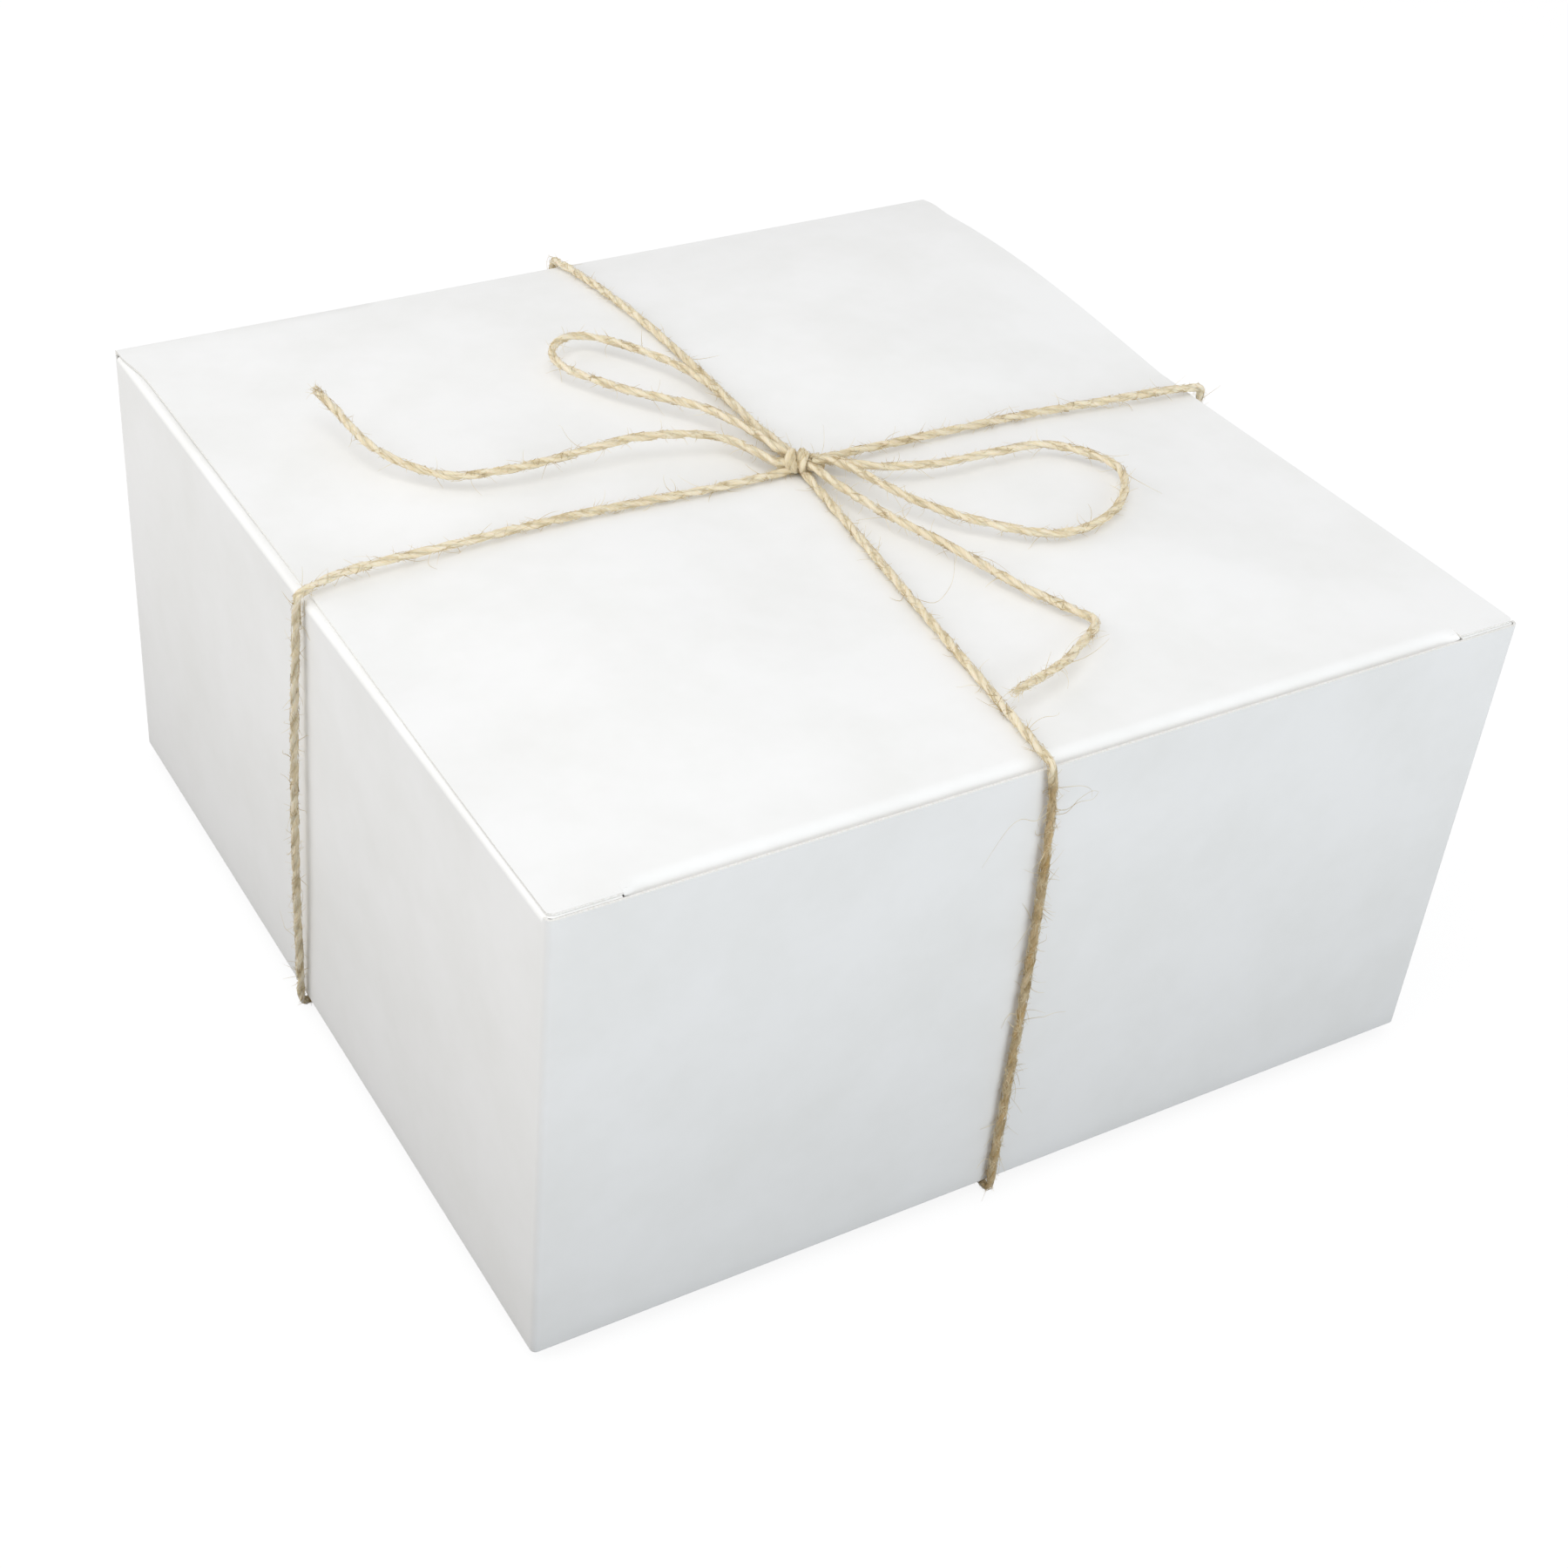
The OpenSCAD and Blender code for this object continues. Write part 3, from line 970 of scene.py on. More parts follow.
@dataclass
class Lid:
    """Lid with its bow, its slit corner tabs and the tuck flap.

    The bow is one curve from the crease to bow_end and is weakest along the left edge. The
    crown is a lower second curve across each half.
    """

    levels: Levels
    finishes: Finishes
    bow_rise: float = 3.2
    bow_end: float = 4.0
    bow_left: float = 0.08
    bow_skew: float = 0.8
    crown_rise: float = 1.8
    crown_x: float = 100.0
    crown_front: float = -96.0
    crown_rear: float = 62.0
    crown_fade: float = 40.0
    rear_half: float = 101.3
    rear_from: float = 86.0
    rear_flare: float = 12.0
    rear_r: float = 0.6
    front_half: float = 101.0
    front_from: float = 20.0
    front_flare: float = 110.0
    fold_r: float = 3.5
    fold_gap: float = 0.4
    lid_fold: float = 40.0
    lid_turns: tuple[float, ...] = (0, 4, 9, 14, 19, 24, 29, 34, 38)
    tuck_turns: tuple[float, ...] = (42, 46, 51, 56, 62, 68, 75, 82, 89)
    tuck_lean: float = 6.0
    tuck_l: float = 22.0
    tuck_r: float = 12.0
    tuck_taper: float = 8.0
    slit_clear: float = 0.1
    end_hang: float = 3.9
    end_share: float = 0.8
    end_from: float = 4.0
    end_fade: float = 3.6
    tab_r: float = 1.2
    crease_step: float = 11.25
    corner_step: float = 7.5
    cell: float = 3.0
    slit_cell: float = 2.0
    edge_cell: float = 1.5
    tab_cell: float = 0.3

    @property
    def fold_y(self) -> float:
        """Depth at which the front fold starts."""
        lv = self.levels
        return -lv.half_d + lv.board_t + self.fold_gap + self.fold_r

    def rise(self, x: float, y: float) -> float:
        """Height of the lid's surface above its edges.

        Args:
            x: Place along the width.
            y: Place along the depth.

        Returns:
            The rise, which is nothing along the creases and under the knot.
        """
        lv = self.levels
        t = (lv.half_d - y) / (lv.half_d - self.bow_end)
        bow = self.bow_rise * math.sin(math.pi * t ** self.bow_skew) if 0 < t < 1 else 0.0
        bow *= self.bow_left + (1 - self.bow_left) * ease((x + lv.lid_half_w) / lv.half_w)
        front = ease((y - self.crown_front) / self.crown_fade)
        rear = ease((self.crown_rear - y) / self.crown_fade)
        crown = self.crown_rise * math.sin(math.pi * min(1, abs(x) / self.crown_x)) ** 2
        return bow + crown * front * rear

    def fold_point(self, turn: float, extra: float = 0.0) -> tuple[float, float]:
        """Depth and height of a point on the outside of the front fold.

        Args:
            turn: Angle from the lid's plane in degrees.
            extra: Straight length past that angle.

        Returns:
            The depth and height.
        """
        a = math.radians(turn)
        y = self.fold_y - self.fold_r * math.sin(a) - extra * math.cos(a)
        z = self.levels.lid_z - self.fold_r * (1 - math.cos(a)) - extra * math.sin(a)
        return y, z

    def fold_row(
        self, half: float, shares: Sequence[float], turn: float, extra: float = 0.0
    ) -> list[Point]:
        """Row of the fold or of the flap below it.

        The board is stiffer beside the slits, so the fold's ends hang less than its middle.

        Args:
            half: Half width of the row.
            shares: Places across it from -1 to 1.
            turn: Angle from the lid's plane in degrees.
            extra: Straight length past that angle.

        Returns:
            The row's points.
        """
        lv = self.levels
        y, z = self.fold_point(turn, extra)
        hang = self.end_share * min(lv.lid_z - z, self.end_hang)
        out = []
        for share in shares:
            near_end = ease((half * abs(share) - lv.slit_x + self.end_from) / self.end_fade)
            out.append((half * share, y, z + hang * near_end))
        return out

    def edge_x(self, y: float) -> float:
        """Half width of the lid: wider at both ends and rounded at its corners.

        Args:
            y: Place along the depth.

        Returns:
            The half width.
        """
        lv = self.levels
        half = lv.lid_half_w
        half += (self.rear_half - lv.lid_half_w) * ease((y - self.rear_from) / self.rear_flare)
        half += (self.front_half - lv.lid_half_w) * ease((self.front_from - y) / self.front_flare)
        for r, past in (
            (self.tab_r, lv.tab_y + self.tab_r - y),
            (self.rear_r, y - lv.half_d + self.rear_r),
        ):
            half -= r - math.sqrt(max(0.0, r ** 2 - max(0.0, past) ** 2))
        return half

    def top_point(self, x: float, y: float) -> Point:
        """Point of the lid's top face on a column; outside the slits, columns reach to the edge.

        Args:
            x: The column's place on a lid of even width.
            y: Place along the depth.

        Returns:
            The point.
        """
        return (self.across(x, y), y, self.levels.lid_z + self.rise(x, y))

    def across(self, x: float, y: float) -> float:
        """Place of a column where the edge strips outside the slits stretch to the edge.

        Args:
            x: The column's place on a lid of even width.
            y: Place along the depth.

        Returns:
            The column's true place along the width.
        """
        lv = self.levels
        past = abs(x) - lv.slit_x
        if past <= 0:
            return x
        return math.copysign(lv.slit_x + past * (self.edge_x(y) - lv.slit_x) / lv.tab_w, x)

    def columns(self) -> list[float]:
        """Places of the lid's columns, closest beside the slits.

        Returns:
            The places from left to right.
        """
        lv = self.levels
        near = lv.slit_x - 2 * self.slit_cell
        side = joined_steps([near, lv.slit_x - self.slit_cell, lv.slit_x, lv.lid_half_w], self.edge_cell)
        return [-x for x in side[::-1]] + steps(-near, near, self.cell)[1:-1] + side

    def panel(self) -> Piece:
        """Build the lid from its rear crease to the start of the front fold.

        Returns:
            The lid.
        """
        lv = self.levels
        sheet = BoardSheet(lv.board_t, self.finishes)
        xs = self.columns()
        rows = []
        for turn in steps(0, 90, self.crease_step)[:-1]:
            a = math.radians(turn)
            y = lv.half_d - lv.lid_crease_r * (1 - math.cos(a))
            z = lv.lid_z - lv.lid_crease_r * (1 - math.sin(a))
            rows.append([(self.across(x, y), y, z) for x in xs])
        for y in steps(lv.half_d - lv.lid_crease_r, self.fold_y, self.cell):
            rows.append([self.top_point(x, y) for x in xs])
        sheet.patch(rows, flip=True)
        middle = [x / lv.slit_x for x in xs if abs(x) <= lv.slit_x + TOUCH]
        turns = (*self.lid_turns, self.lid_fold)
        sheet.patch([self.fold_row(lv.slit_x, middle, turn) for turn in turns], flip=True)
        for side in (-1, 1):
            self.tab(sheet, [side * x for x in xs if x >= lv.slit_x - TOUCH], side)
        made = sheet.build("lid_board", self.finishes.board)
        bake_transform(made)
        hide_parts("lid_panel")
        return made

    def tab(self, sheet: BoardSheet, columns: Sequence[float], side: int) -> None:
        """Add a corner tab, which starts on the lid's own points.

        Args:
            sheet: Sheet of the lid.
            columns: Places of the lid's columns from the slit outwards.
            side: -1 for the left tab and 1 for the right one.
        """
        tab_y = self.levels.tab_y
        depths = joined_steps([self.fold_y, tab_y + self.tab_r, tab_y], self.tab_cell)
        sheet.patch([[self.top_point(x, y) for x in columns] for y in depths], flip=side > 0)

    def tuck(self) -> Piece:
        """Build the rest of the fold and the flap behind the front wall.

        Returns:
            The flap.
        """
        lv = self.levels
        half = lv.slit_x - self.slit_clear
        end = 90 + self.tuck_lean
        sheet = BoardSheet(lv.board_t, self.finishes)
        shares = steps(-1, 1, self.edge_cell / half)
        turns = (self.lid_fold, *self.tuck_turns, end)
        rows = [self.fold_row(half, shares, turn) for turn in turns]
        straight = self.tuck_l - self.tuck_r
        drops = steps(0, straight, self.cell)[1:]
        for a in steps(0, 90, self.corner_step)[1:]:
            drops.append(straight + self.tuck_r * math.sin(math.radians(a)))
        for drop in drops:
            past = max(0.0, drop - straight)
            trim = self.tuck_r - math.sqrt(max(0.0, self.tuck_r ** 2 - past ** 2))
            trim += (half - lv.tuck_half) * ease(drop / self.tuck_taper)
            rows.append(self.fold_row(half - trim, shares, end, drop))
        sheet.patch(rows, flip=True)
        made = sheet.build("tuck_board", self.finishes.board)
        start_y, start_z = self.fold_point(self.lid_fold)
        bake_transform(made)
        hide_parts("tuck_flap")
        return made

    def build(self) -> list[Piece]:
        """Build the lid and the tuck flap."""
        return [self.panel(), self.tuck()]


@dataclass
class DustFlap:
    """Side flap under the lid: square front corner, stepped front edge, slanting rear edge."""

    levels: Levels
    finishes: Finishes
    side: int
    body: Body
    reach: float = 72.0
    step: float = 8.4
    shoulder_w: float = 0.15
    slit_gap: float = -0.12
    rear: float = 4.0
    rear_fade: float = 8.0
    slope: float = 0.6
    tip_r: float = 9.0
    tip_step: float = 9.0
    crease_step: float = 11.25
    cell: float = 4.0

    @property
    def shoulder(self) -> float:
        """Reach at which the front edge steps back, beside the lid's slit."""
        return self.levels.half_w - self.levels.slit_x + self.slit_gap

    def front_at(self, u: float) -> float:
        """Depth of the front edge.

        Args:
            u: Reach from the side face.

        Returns:
            The depth.
        """
        lv = self.levels
        front = -lv.half_d + lv.board_t + lv.dust_gap
        if u < lv.corner_r:
            return front + lv.corner_r - u
        if u <= self.shoulder - self.shoulder_w:
            return front
        if u < self.shoulder:
            return front + self.step * (u - self.shoulder + self.shoulder_w) / self.shoulder_w
        past = max(0.0, u - (self.reach - self.tip_r))
        return front + self.step + self.tip_r - math.sqrt(max(0.0, self.tip_r ** 2 - past ** 2))

    def rear_at(self, u: float) -> float:
        """Depth of the rear edge at reach u from the side face."""
        root = self.levels.dust_root + (self.rear - self.levels.dust_root) * ease(u / self.rear_fade)
        return self.levels.half_d - root - self.slope * u

    def profile(self) -> list[tuple[float, float]]:
        """Reach and height of each row, up the crease and then inwards.

        Returns:
            The pairs in order.
        """
        lv = self.levels
        r = lv.dust_crease_r
        out = []
        for turn in steps(0, 90, self.crease_step)[:-1]:
            a = math.radians(turn)
            out.append((r * (1 - math.cos(a)), lv.dust_z - r * (1 - math.sin(a))))
        tip = self.reach - self.tip_r
        flat = joined_steps([r, self.shoulder - self.shoulder_w, self.shoulder, tip], self.cell)
        for a in steps(0, 90, self.tip_step)[1:]:
            flat.append(self.reach - self.tip_r * (1 - math.sin(math.radians(a))))
        return out + [(u, lv.dust_z) for u in flat]

    def build(self) -> list[Piece]:
        """Build the flap with its rounded crease.

        Returns:
            The flap.
        """
        lv = self.levels
        r = lv.dust_crease_r
        shares = steps(0, 1, self.cell / (2 * lv.half_d))
        rows = []
        for u, z in self.profile():
            front = self.front_at(u) if u > r else self.front_at(0) - min(u, lv.corner_r)
            rear = self.rear_at(u)
            x = self.side * (lv.half_w - u)
            rows.append([(x, front + (rear - front) * share, z) for share in shares])
        sheet = BoardSheet(lv.board_t, self.finishes)
        sheet.patch(rows, flip=self.side < 0)
        made = sheet.build(f"{self.body.value}_board", self.finishes.board)
        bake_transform(made)
        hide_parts("left_dust_flap" if self.side < 0 else "right_dust_flap")
        return [made]


# ---------------------------------------------------------------- twine


# A line that starts more steeply than this takes its first frame from +X instead of +Z.
STEEP = 0.9
# Girth of twine: the share lost where it is drawn tight, and what is left of it at a cut end.
TIGHT_LOSS = 0.28
CUT_GIRTH = 0.3
CUT_LENGTH = 4.5
# Gap from loose fibres to the board, how far they may pass the CAD box, and their lowest height.
FIBRE_GAP = 0.12
FIBRE_SPARE = 2.0
FIBRE_LOW = 0.05
# Strength of the painted shade on a wall's strand where nothing else is said.
SOME_WALL_SHADE = 0.4


def smooth_route(points: Sequence[Point], count: int) -> list[np.ndarray]:
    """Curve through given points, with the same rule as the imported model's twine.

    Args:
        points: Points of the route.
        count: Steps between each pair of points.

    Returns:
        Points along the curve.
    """
    p = [np.array(q, float) for q in points]
    out = []
    for i in range(len(p) - 1):
        a, b, c, d = p[max(0, i - 1)], p[i], p[i + 1], p[min(len(p) - 1, i + 2)]
        for k in range(count):
            t = k / count
            out.append(
                0.5 * (2 * b + (c - a) * t + (2 * a - 5 * b + 4 * c - d) * t * t
                       + (3 * b - a - 3 * c + d) * t ** 3)
            )
    out.append(p[-1])
    return out


def run_along(line: np.ndarray) -> np.ndarray:
    """Distance along a line to each of its points."""
    lengths = np.linalg.norm(np.diff(line, axis=0), axis=1)
    return np.concatenate([[0], np.cumsum(lengths)])


def resampled(points: Sequence[np.ndarray], step: float) -> np.ndarray:
    """Points at even spacing along a line.

    Args:
        points: The line's own points.
        step: Spacing wanted.

    Returns:
        One row for each place.
    """
    line = np.array(points)
    run = run_along(line)
    count = max(2, int(round(run[-1] / step)))
    places = np.linspace(0, run[-1], count + 1)
    return np.stack([np.interp(places, run, line[:, k]) for k in range(3)], axis=1)


@dataclass
class TwineLine:
    """Centre line of a stretch of twine with its running frames.

    Each frame's painted shade strength, from 0 to 1, darkens and browns the strand down the walls.
    The girth falls as it grows, as a stretch drawn tight is thinner, and at a cut end.
    """

    centre: np.ndarray
    tangent: np.ndarray
    normal: np.ndarray
    binormal: np.ndarray
    run: np.ndarray
    cast: np.ndarray
    girth: np.ndarray
    bare_end: bool

    @classmethod
    def along(
        cls,
        points: Sequence[np.ndarray],
        step: float,
        wall_shade_at: Callable[[np.ndarray], float] = lambda p: 0.0,
        bare_end: bool = False,
    ) -> "TwineLine":
        """Lay frames along a line without twist.

        Args:
            points: The line's own points.
            step: Spacing of the frames.
            wall_shade_at: Gives how strong the painted shade is at a place, from 0 to 1.
            bare_end: Whether the last end is cut and thins out into its fibres.

        Returns:
            The line with its frames.
        """
        centre = resampled(points, step)
        tangent = np.gradient(centre, axis=0)
        tangent /= np.linalg.norm(tangent, axis=1)[:, None]
        normal = np.zeros_like(centre)
        guess = np.array([0.0, 0.0, 1.0]) if abs(tangent[0][2]) < STEEP else np.array([1.0, 0.0, 0.0])
        for i, t in enumerate(tangent):
            guess = guess - t * float(guess @ t)
            guess = guess / np.linalg.norm(guess)
            normal[i] = guess
        run = run_along(centre)
        # Painted shade strength at each frame; the girth thins with it.
        cast = np.array([wall_shade_at(p) for p in centre])
        girth = 1 - TIGHT_LOSS * cast
        if bare_end:
            left = [ease((run[-1] - s) / CUT_LENGTH) for s in run]
            girth *= CUT_GIRTH + (1 - CUT_GIRTH) * np.array(left)
        return cls(centre, tangent, normal, np.cross(tangent, normal), run, cast, girth, bare_end)

    def index_at(self, test: Callable[[np.ndarray], float]) -> int:
        """Number of the frame at which a measure of its place is least."""
        return int(np.argmin([test(p) for p in self.centre]))

    def outward(self, i: int, angle: float) -> np.ndarray:
        """Direction away from the centre line at a frame and an angle round it."""
        return math.cos(angle) * self.normal[i] + math.sin(angle) * self.binormal[i]


@dataclass(frozen=True)
class Stretch:
    """Frames of a line that one piece of twine covers, and the seed of its irregularities."""

    line: TwineLine
    first: int
    last: int
    seed: int

    @classmethod
    def whole(cls, line: TwineLine, seed: int) -> "Stretch":
        """All of a line."""
        return cls(line, 0, len(line.centre) - 1, seed)


@dataclass(frozen=True)
class Waver:
    """Irregularity along a ply: its strength, its changes per millimetre and its noise row."""

    strength: float
    rate: float
    row: float = 0.0

    def at(self, offset: Vector, run: float) -> float:
        """Its value at a distance along the line, from the noise at an offset."""
        return self.strength * noise.noise(offset + Vector((run * self.rate, self.row, 0)))


@dataclass(frozen=True)
class FibreLot:
    """Loose fibres of one kind on a strand; lengths and radius are in millimetres.

    Lean is how far they start outwards, swirl how far round the twine, and curl how much they
    bend. A slant lays them on the plies instead.
    """

    per_mm: float
    length: tuple[float, float]
    radius: float
    bends: int
    lean: tuple[float, float] = (0.0, 0.0)
    swirl: float = 0.0
    curl: float = 0.0
    slant: float = 0.0

    @property
    def binds(self) -> bool:
        """Whether the fibres lie on the plies."""
        return self.slant > 0


@dataclass
class FibreMesh:
    """Closed three-sided fibres, each tapering to its tip, gathered for one mesh.

    Aside is a direction that no fibre runs along, which turns the sides.
    """

    points: list[np.ndarray] = field(default_factory=list)
    faces: list[tuple[int, ...]] = field(default_factory=list)
    sides: int = 3
    taper: float = 0.72
    aside: Point = (0.31, 0.42, 0.85)
    tiny: float = 1e-9

    def add(self, spine: Sequence[np.ndarray], r: float) -> None:
        """Add one fibre.

        Args:
            spine: Centre of the fibre, root first.
            r: Radius at the root.
        """
        start = len(self.points)
        last = len(spine) - 1
        middle = np.array(spine)
        t = np.gradient(middle, axis=0)
        u = np.cross(t, self.aside)
        v = np.cross(t, u)
        u /= np.linalg.norm(u, axis=1)[:, None] + self.tiny
        v /= np.linalg.norm(v, axis=1)[:, None] + self.tiny
        here = (r * (1 - self.taper * np.linspace(0, 1, last + 1)))[:, None]
        rings = []
        for k in range(self.sides):
            a = 2 * math.pi * k / self.sides
            rings.append(middle + here * (math.cos(a) * u + math.sin(a) * v))
        self.points.extend(np.stack(rings, axis=1).reshape(-1, 3))
        self.faces.extend(tube_faces(start, last + 1, self.sides))


def tube_faces(start: int, rings: int, sides: int) -> list[tuple[int, ...]]:
    """Faces of a closed tube whose points are numbered ring by ring.

    Args:
        start: Number of its first point.
        rings: Number of rings.
        sides: Points in each ring.

    Returns:
        The side faces, then the first end and the last.
    """
    out = []
    for i in range(rings - 1):
        for k in range(sides):
            a = start + i * sides + k
            b = start + i * sides + (k + 1) % sides
            out.append((a, b, b + sides, a + sides))
    out.append(tuple(start + k for k in range(sides - 1, -1, -1)))
    out.append(tuple(start + (rings - 1) * sides + k for k in range(sides)))
    return out


@dataclass
class PlySkin:
    """Surface of a strand: its points and faces, and what its finish reads at each point."""

    points: list[np.ndarray] = field(default_factory=list)
    faces: list[tuple[int, ...]] = field(default_factory=list)
    fibre: list[Point] = field(default_factory=list)
    groove: list[float] = field(default_factory=list)
    tone: list[float] = field(default_factory=list)


@dataclass
class JuteStrand:
    """Two plies of jute laid round each other, with the fibres that stand off them.

    Drift, lay, fat and lump make the plies as uneven as spun bast is; the stain waver makes the painted
    wall shade uneven along each ply.
    """

    finishes: Finishes
    ply_r: float = 0.57
    lay_r: float = 0.28
    pitch: float = 12.0
    sides: int = 12
    step: float = 0.45
    crisp_angle: float = 60.0
    drift: Waver = Waver(0.35, 0.045)
    lay: Waver = Waver(0.1, 0.21, 9.0)
    fat: Waver = Waver(0.16, 0.33, 3.0)
    # Unevenness of the painted wall shade along a ply.
    shade_wobble: Waver = Waver(0.9, 0.2, 5.0)
    lump: float = 0.07
    lump_rate: float = 0.55
    lump_round: float = 2.2
    seed_apart: float = 7.3
    ply_apart: float = 31.7
    fibre_apart: float = 40.0
    # Real fibres are near 0.05 mm thick; these are drawn a little coarser so that they show.
    lots: tuple[FibreLot, ...] = (
        FibreLot(5.0, (2.0, 6.5), 0.06, bends=7, slant=0.6),
        FibreLot(9.0, (0.4, 2.4), 0.05, bends=5, lean=(0.2, 1.2), swirl=1.0, curl=0.3),
        FibreLot(1.8, (1.5, 6.0), 0.055, bends=7, lean=(0.2, 1.1), swirl=0.8, curl=0.25),
        FibreLot(0.14, (5.0, 12.0), 0.055, bends=9, lean=(0.2, 0.9), swirl=0.6, curl=0.125),
    )
    frayed: FibreLot = FibreLot(0, (1.0, 4.0), 0.05, bends=5, lean=(0.0, 0.35), swirl=0.3, curl=0.15)
    frayed_count: int = 40
    frayed_frames: int = 8
    bare_share: float = 0.4
    shade_fuzz_gain: float = 1.5
    radius_spread: tuple[float, float] = (0.75, 1.35)
    bound_depth: tuple[float, float] = (0.86, 1.02)
    bound_lift: float = 0.12
    root_depth: float = 0.4
    stray_r: float = 0.06
    fibre_crisp: float = 170.0
    fibre_seed: int = 100

    def middles(
        self, line: TwineLine, ply: int, offset: Vector
    ) -> tuple[np.ndarray, list[np.ndarray]]:
        """Middles of one ply.

        Args:
            line: Centre line of the whole stretch.
            ply: Number of the ply.
            offset: Place in the noise.

        Returns:
            The ply's middle at each frame, and its direction away from the centre line.
        """
        spots, outs = [], []
        for i, run in enumerate(line.run):
            phase = 2 * math.pi * (run / self.pitch + 0.5 * ply) + self.drift.at(offset, run)
            lay = self.lay_r * (1 + self.lay.at(offset, run)) * line.girth[i]
            radial = line.outward(i, phase)
            spots.append(line.centre[i] + lay * radial)
            outs.append(radial)
        return np.array(spots), outs

    def skin(self, stretch: Stretch) -> PlySkin:
        """Surface of both plies along a stretch.

        Args:
            stretch: The stretch.

        Returns:
            The surface.
        """
        skin = PlySkin()
        for ply in range(2):
            offset = Vector((stretch.seed * self.seed_apart, ply * self.ply_apart, 0.0))
            spots, outs = self.middles(stretch.line, ply, offset)
            heading = np.gradient(spots, axis=0)
            heading /= np.linalg.norm(heading, axis=1)[:, None]
            start = len(skin.points)
            for i in range(stretch.first, stretch.last + 1):
                out = outs[i] - heading[i] * float(outs[i] @ heading[i])
                out = out / np.linalg.norm(out)
                aside = np.cross(heading[i], out)
                self.add_ring(skin, stretch.line, i, ply, offset, (spots[i], out, aside))
            rings = stretch.last - stretch.first + 1
            skin.faces.extend(tube_faces(start, rings, self.sides))
        return skin

    def add_ring(
        self,
        skin: PlySkin,
        line: TwineLine,
        i: int,
        ply: int,
        offset: Vector,
        axes: tuple[np.ndarray, np.ndarray, np.ndarray],
    ) -> None:
        """Add one ring of points to a ply.

        Args:
            skin: Surface so far, which it adds to.
            line: Centre line of the whole stretch.
            i: Frame of the ring.
            ply: Number of the ply.
            offset: Place in the noise.
            axes: Middle of the ring, its direction away from the centre line, and the one across.
        """
        spot, out, aside = axes
        run = line.run[i]
        fat = 1 + self.fat.at(offset, run)
        # Painted shade down the walls, uneven along the ply.
        tone = line.cast[i] * (1 + self.shade_wobble.at(offset, run))
        for a in np.arange(self.sides) * 2 * math.pi / self.sides:
            bump = Vector((
                run * self.lump_rate, self.lump_round * math.cos(a), self.lump_round * math.sin(a)
            ))
            r = self.ply_r * fat * (1 + self.lump * noise.noise(offset + bump)) * line.girth[i]
            skin.points.append(spot + r * (math.cos(a) * out + math.sin(a) * aside))
            twist = a - 2 * math.pi * run / self.pitch
            along = run + self.fibre_apart * ply
            skin.fibre.append((along, self.ply_r * math.cos(twist), self.ply_r * math.sin(twist)))
            # Painted shade mask: 1 where the ply faces the other ply, 0 on its outer crown.
            skin.groove.append(0.5 - 0.5 * math.cos(a))
            skin.tone.append(tone)

    def plies(self, name: str, stretch: Stretch) -> Piece:
        """Make the object of both plies along a stretch.

        Args:
            name: Name of the piece.
            stretch: The stretch.

        Returns:
            The piece.
        """
        skin = self.skin(stretch)
        made = mesh_object(name, skin.points, skin.faces, [self.finishes.jute], self.crisp_angle)
        held = made.data.attributes.new("fibre_co", "FLOAT_VECTOR", "POINT")
        held.data.foreach_set("vector", np.array(skin.fibre, np.float32).ravel())
        for attribute, values in (("groove", skin.groove), ("tone", skin.tone)):
            held = made.data.attributes.new(attribute, "FLOAT", "POINT")
            held.data.foreach_set("value", np.array(values, np.float32))
        return made

    def fuzz(
        self,
        name: str,
        stretch: Stretch,
        allowed: Callable[[np.ndarray], np.ndarray],
        strays: Sequence[Sequence[np.ndarray]] = (),
    ) -> Piece:
        """Make the loose fibres on a stretch of twine.

        They stand closest where the painted wall shade is strongest; elsewhere a share of them is made.

        Args:
            name: Name of the piece.
            stretch: The stretch.
            allowed: Moves a point to where the board leaves room for it.
            strays: Spines of long fibres that are placed one by one.

        Returns:
            The piece.
        """
        draw = random.Random(stretch.seed + self.fibre_seed)
        line = stretch.line
        end = stretch.last + 1
        share = np.minimum(1.0, self.bare_share + self.shade_fuzz_gain * line.cast[stretch.first:end])
        span = float(share.sum()) * self.step
        frames = range(stretch.first, end)
        lots = [(lot, draw.choices(frames, share, k=int(span * lot.per_mm))) for lot in self.lots]
        if line.bare_end:
            tip = range(stretch.last - self.frayed_frames, end)
            lots.append((self.frayed, draw.choices(tip, k=self.frayed_count)))
        fibres = FibreMesh()
        for lot, roots in lots:
            spine_of = self.bound_spine if lot.binds else self.loose_spine
            for i in roots:
                spine = [allowed(place) for place in spine_of(line, i, lot, draw)]
                fibres.add(spine, lot.radius * draw.uniform(*self.radius_spread))
        for spine in strays:
            fibres.add([allowed(place) for place in spine], self.stray_r)
        return mesh_object(name, fibres.points, fibres.faces, [self.finishes.fibre], self.fibre_crisp)

    def lay_twine(
        self,
        name: str,
        stretch: Stretch,
        allowed: Callable[[np.ndarray], np.ndarray],
        strays: Sequence[Sequence[np.ndarray]] = (),
    ) -> list[Piece]:
        """Make a stretch of twine and its loose fibres.

        Args:
            name: Name of the piece with the plies.
            stretch: The stretch.
            allowed: Moves a fibre's point to where the board leaves room for it.
            strays: Spines of long fibres that are placed one by one.

        Returns:
            The plies and the fibres.
        """
        fuzz_name = f"{name.removesuffix('_twine')}_fuzz"
        made = [self.plies(name, stretch), self.fuzz(fuzz_name, stretch, allowed, strays)]
        return made

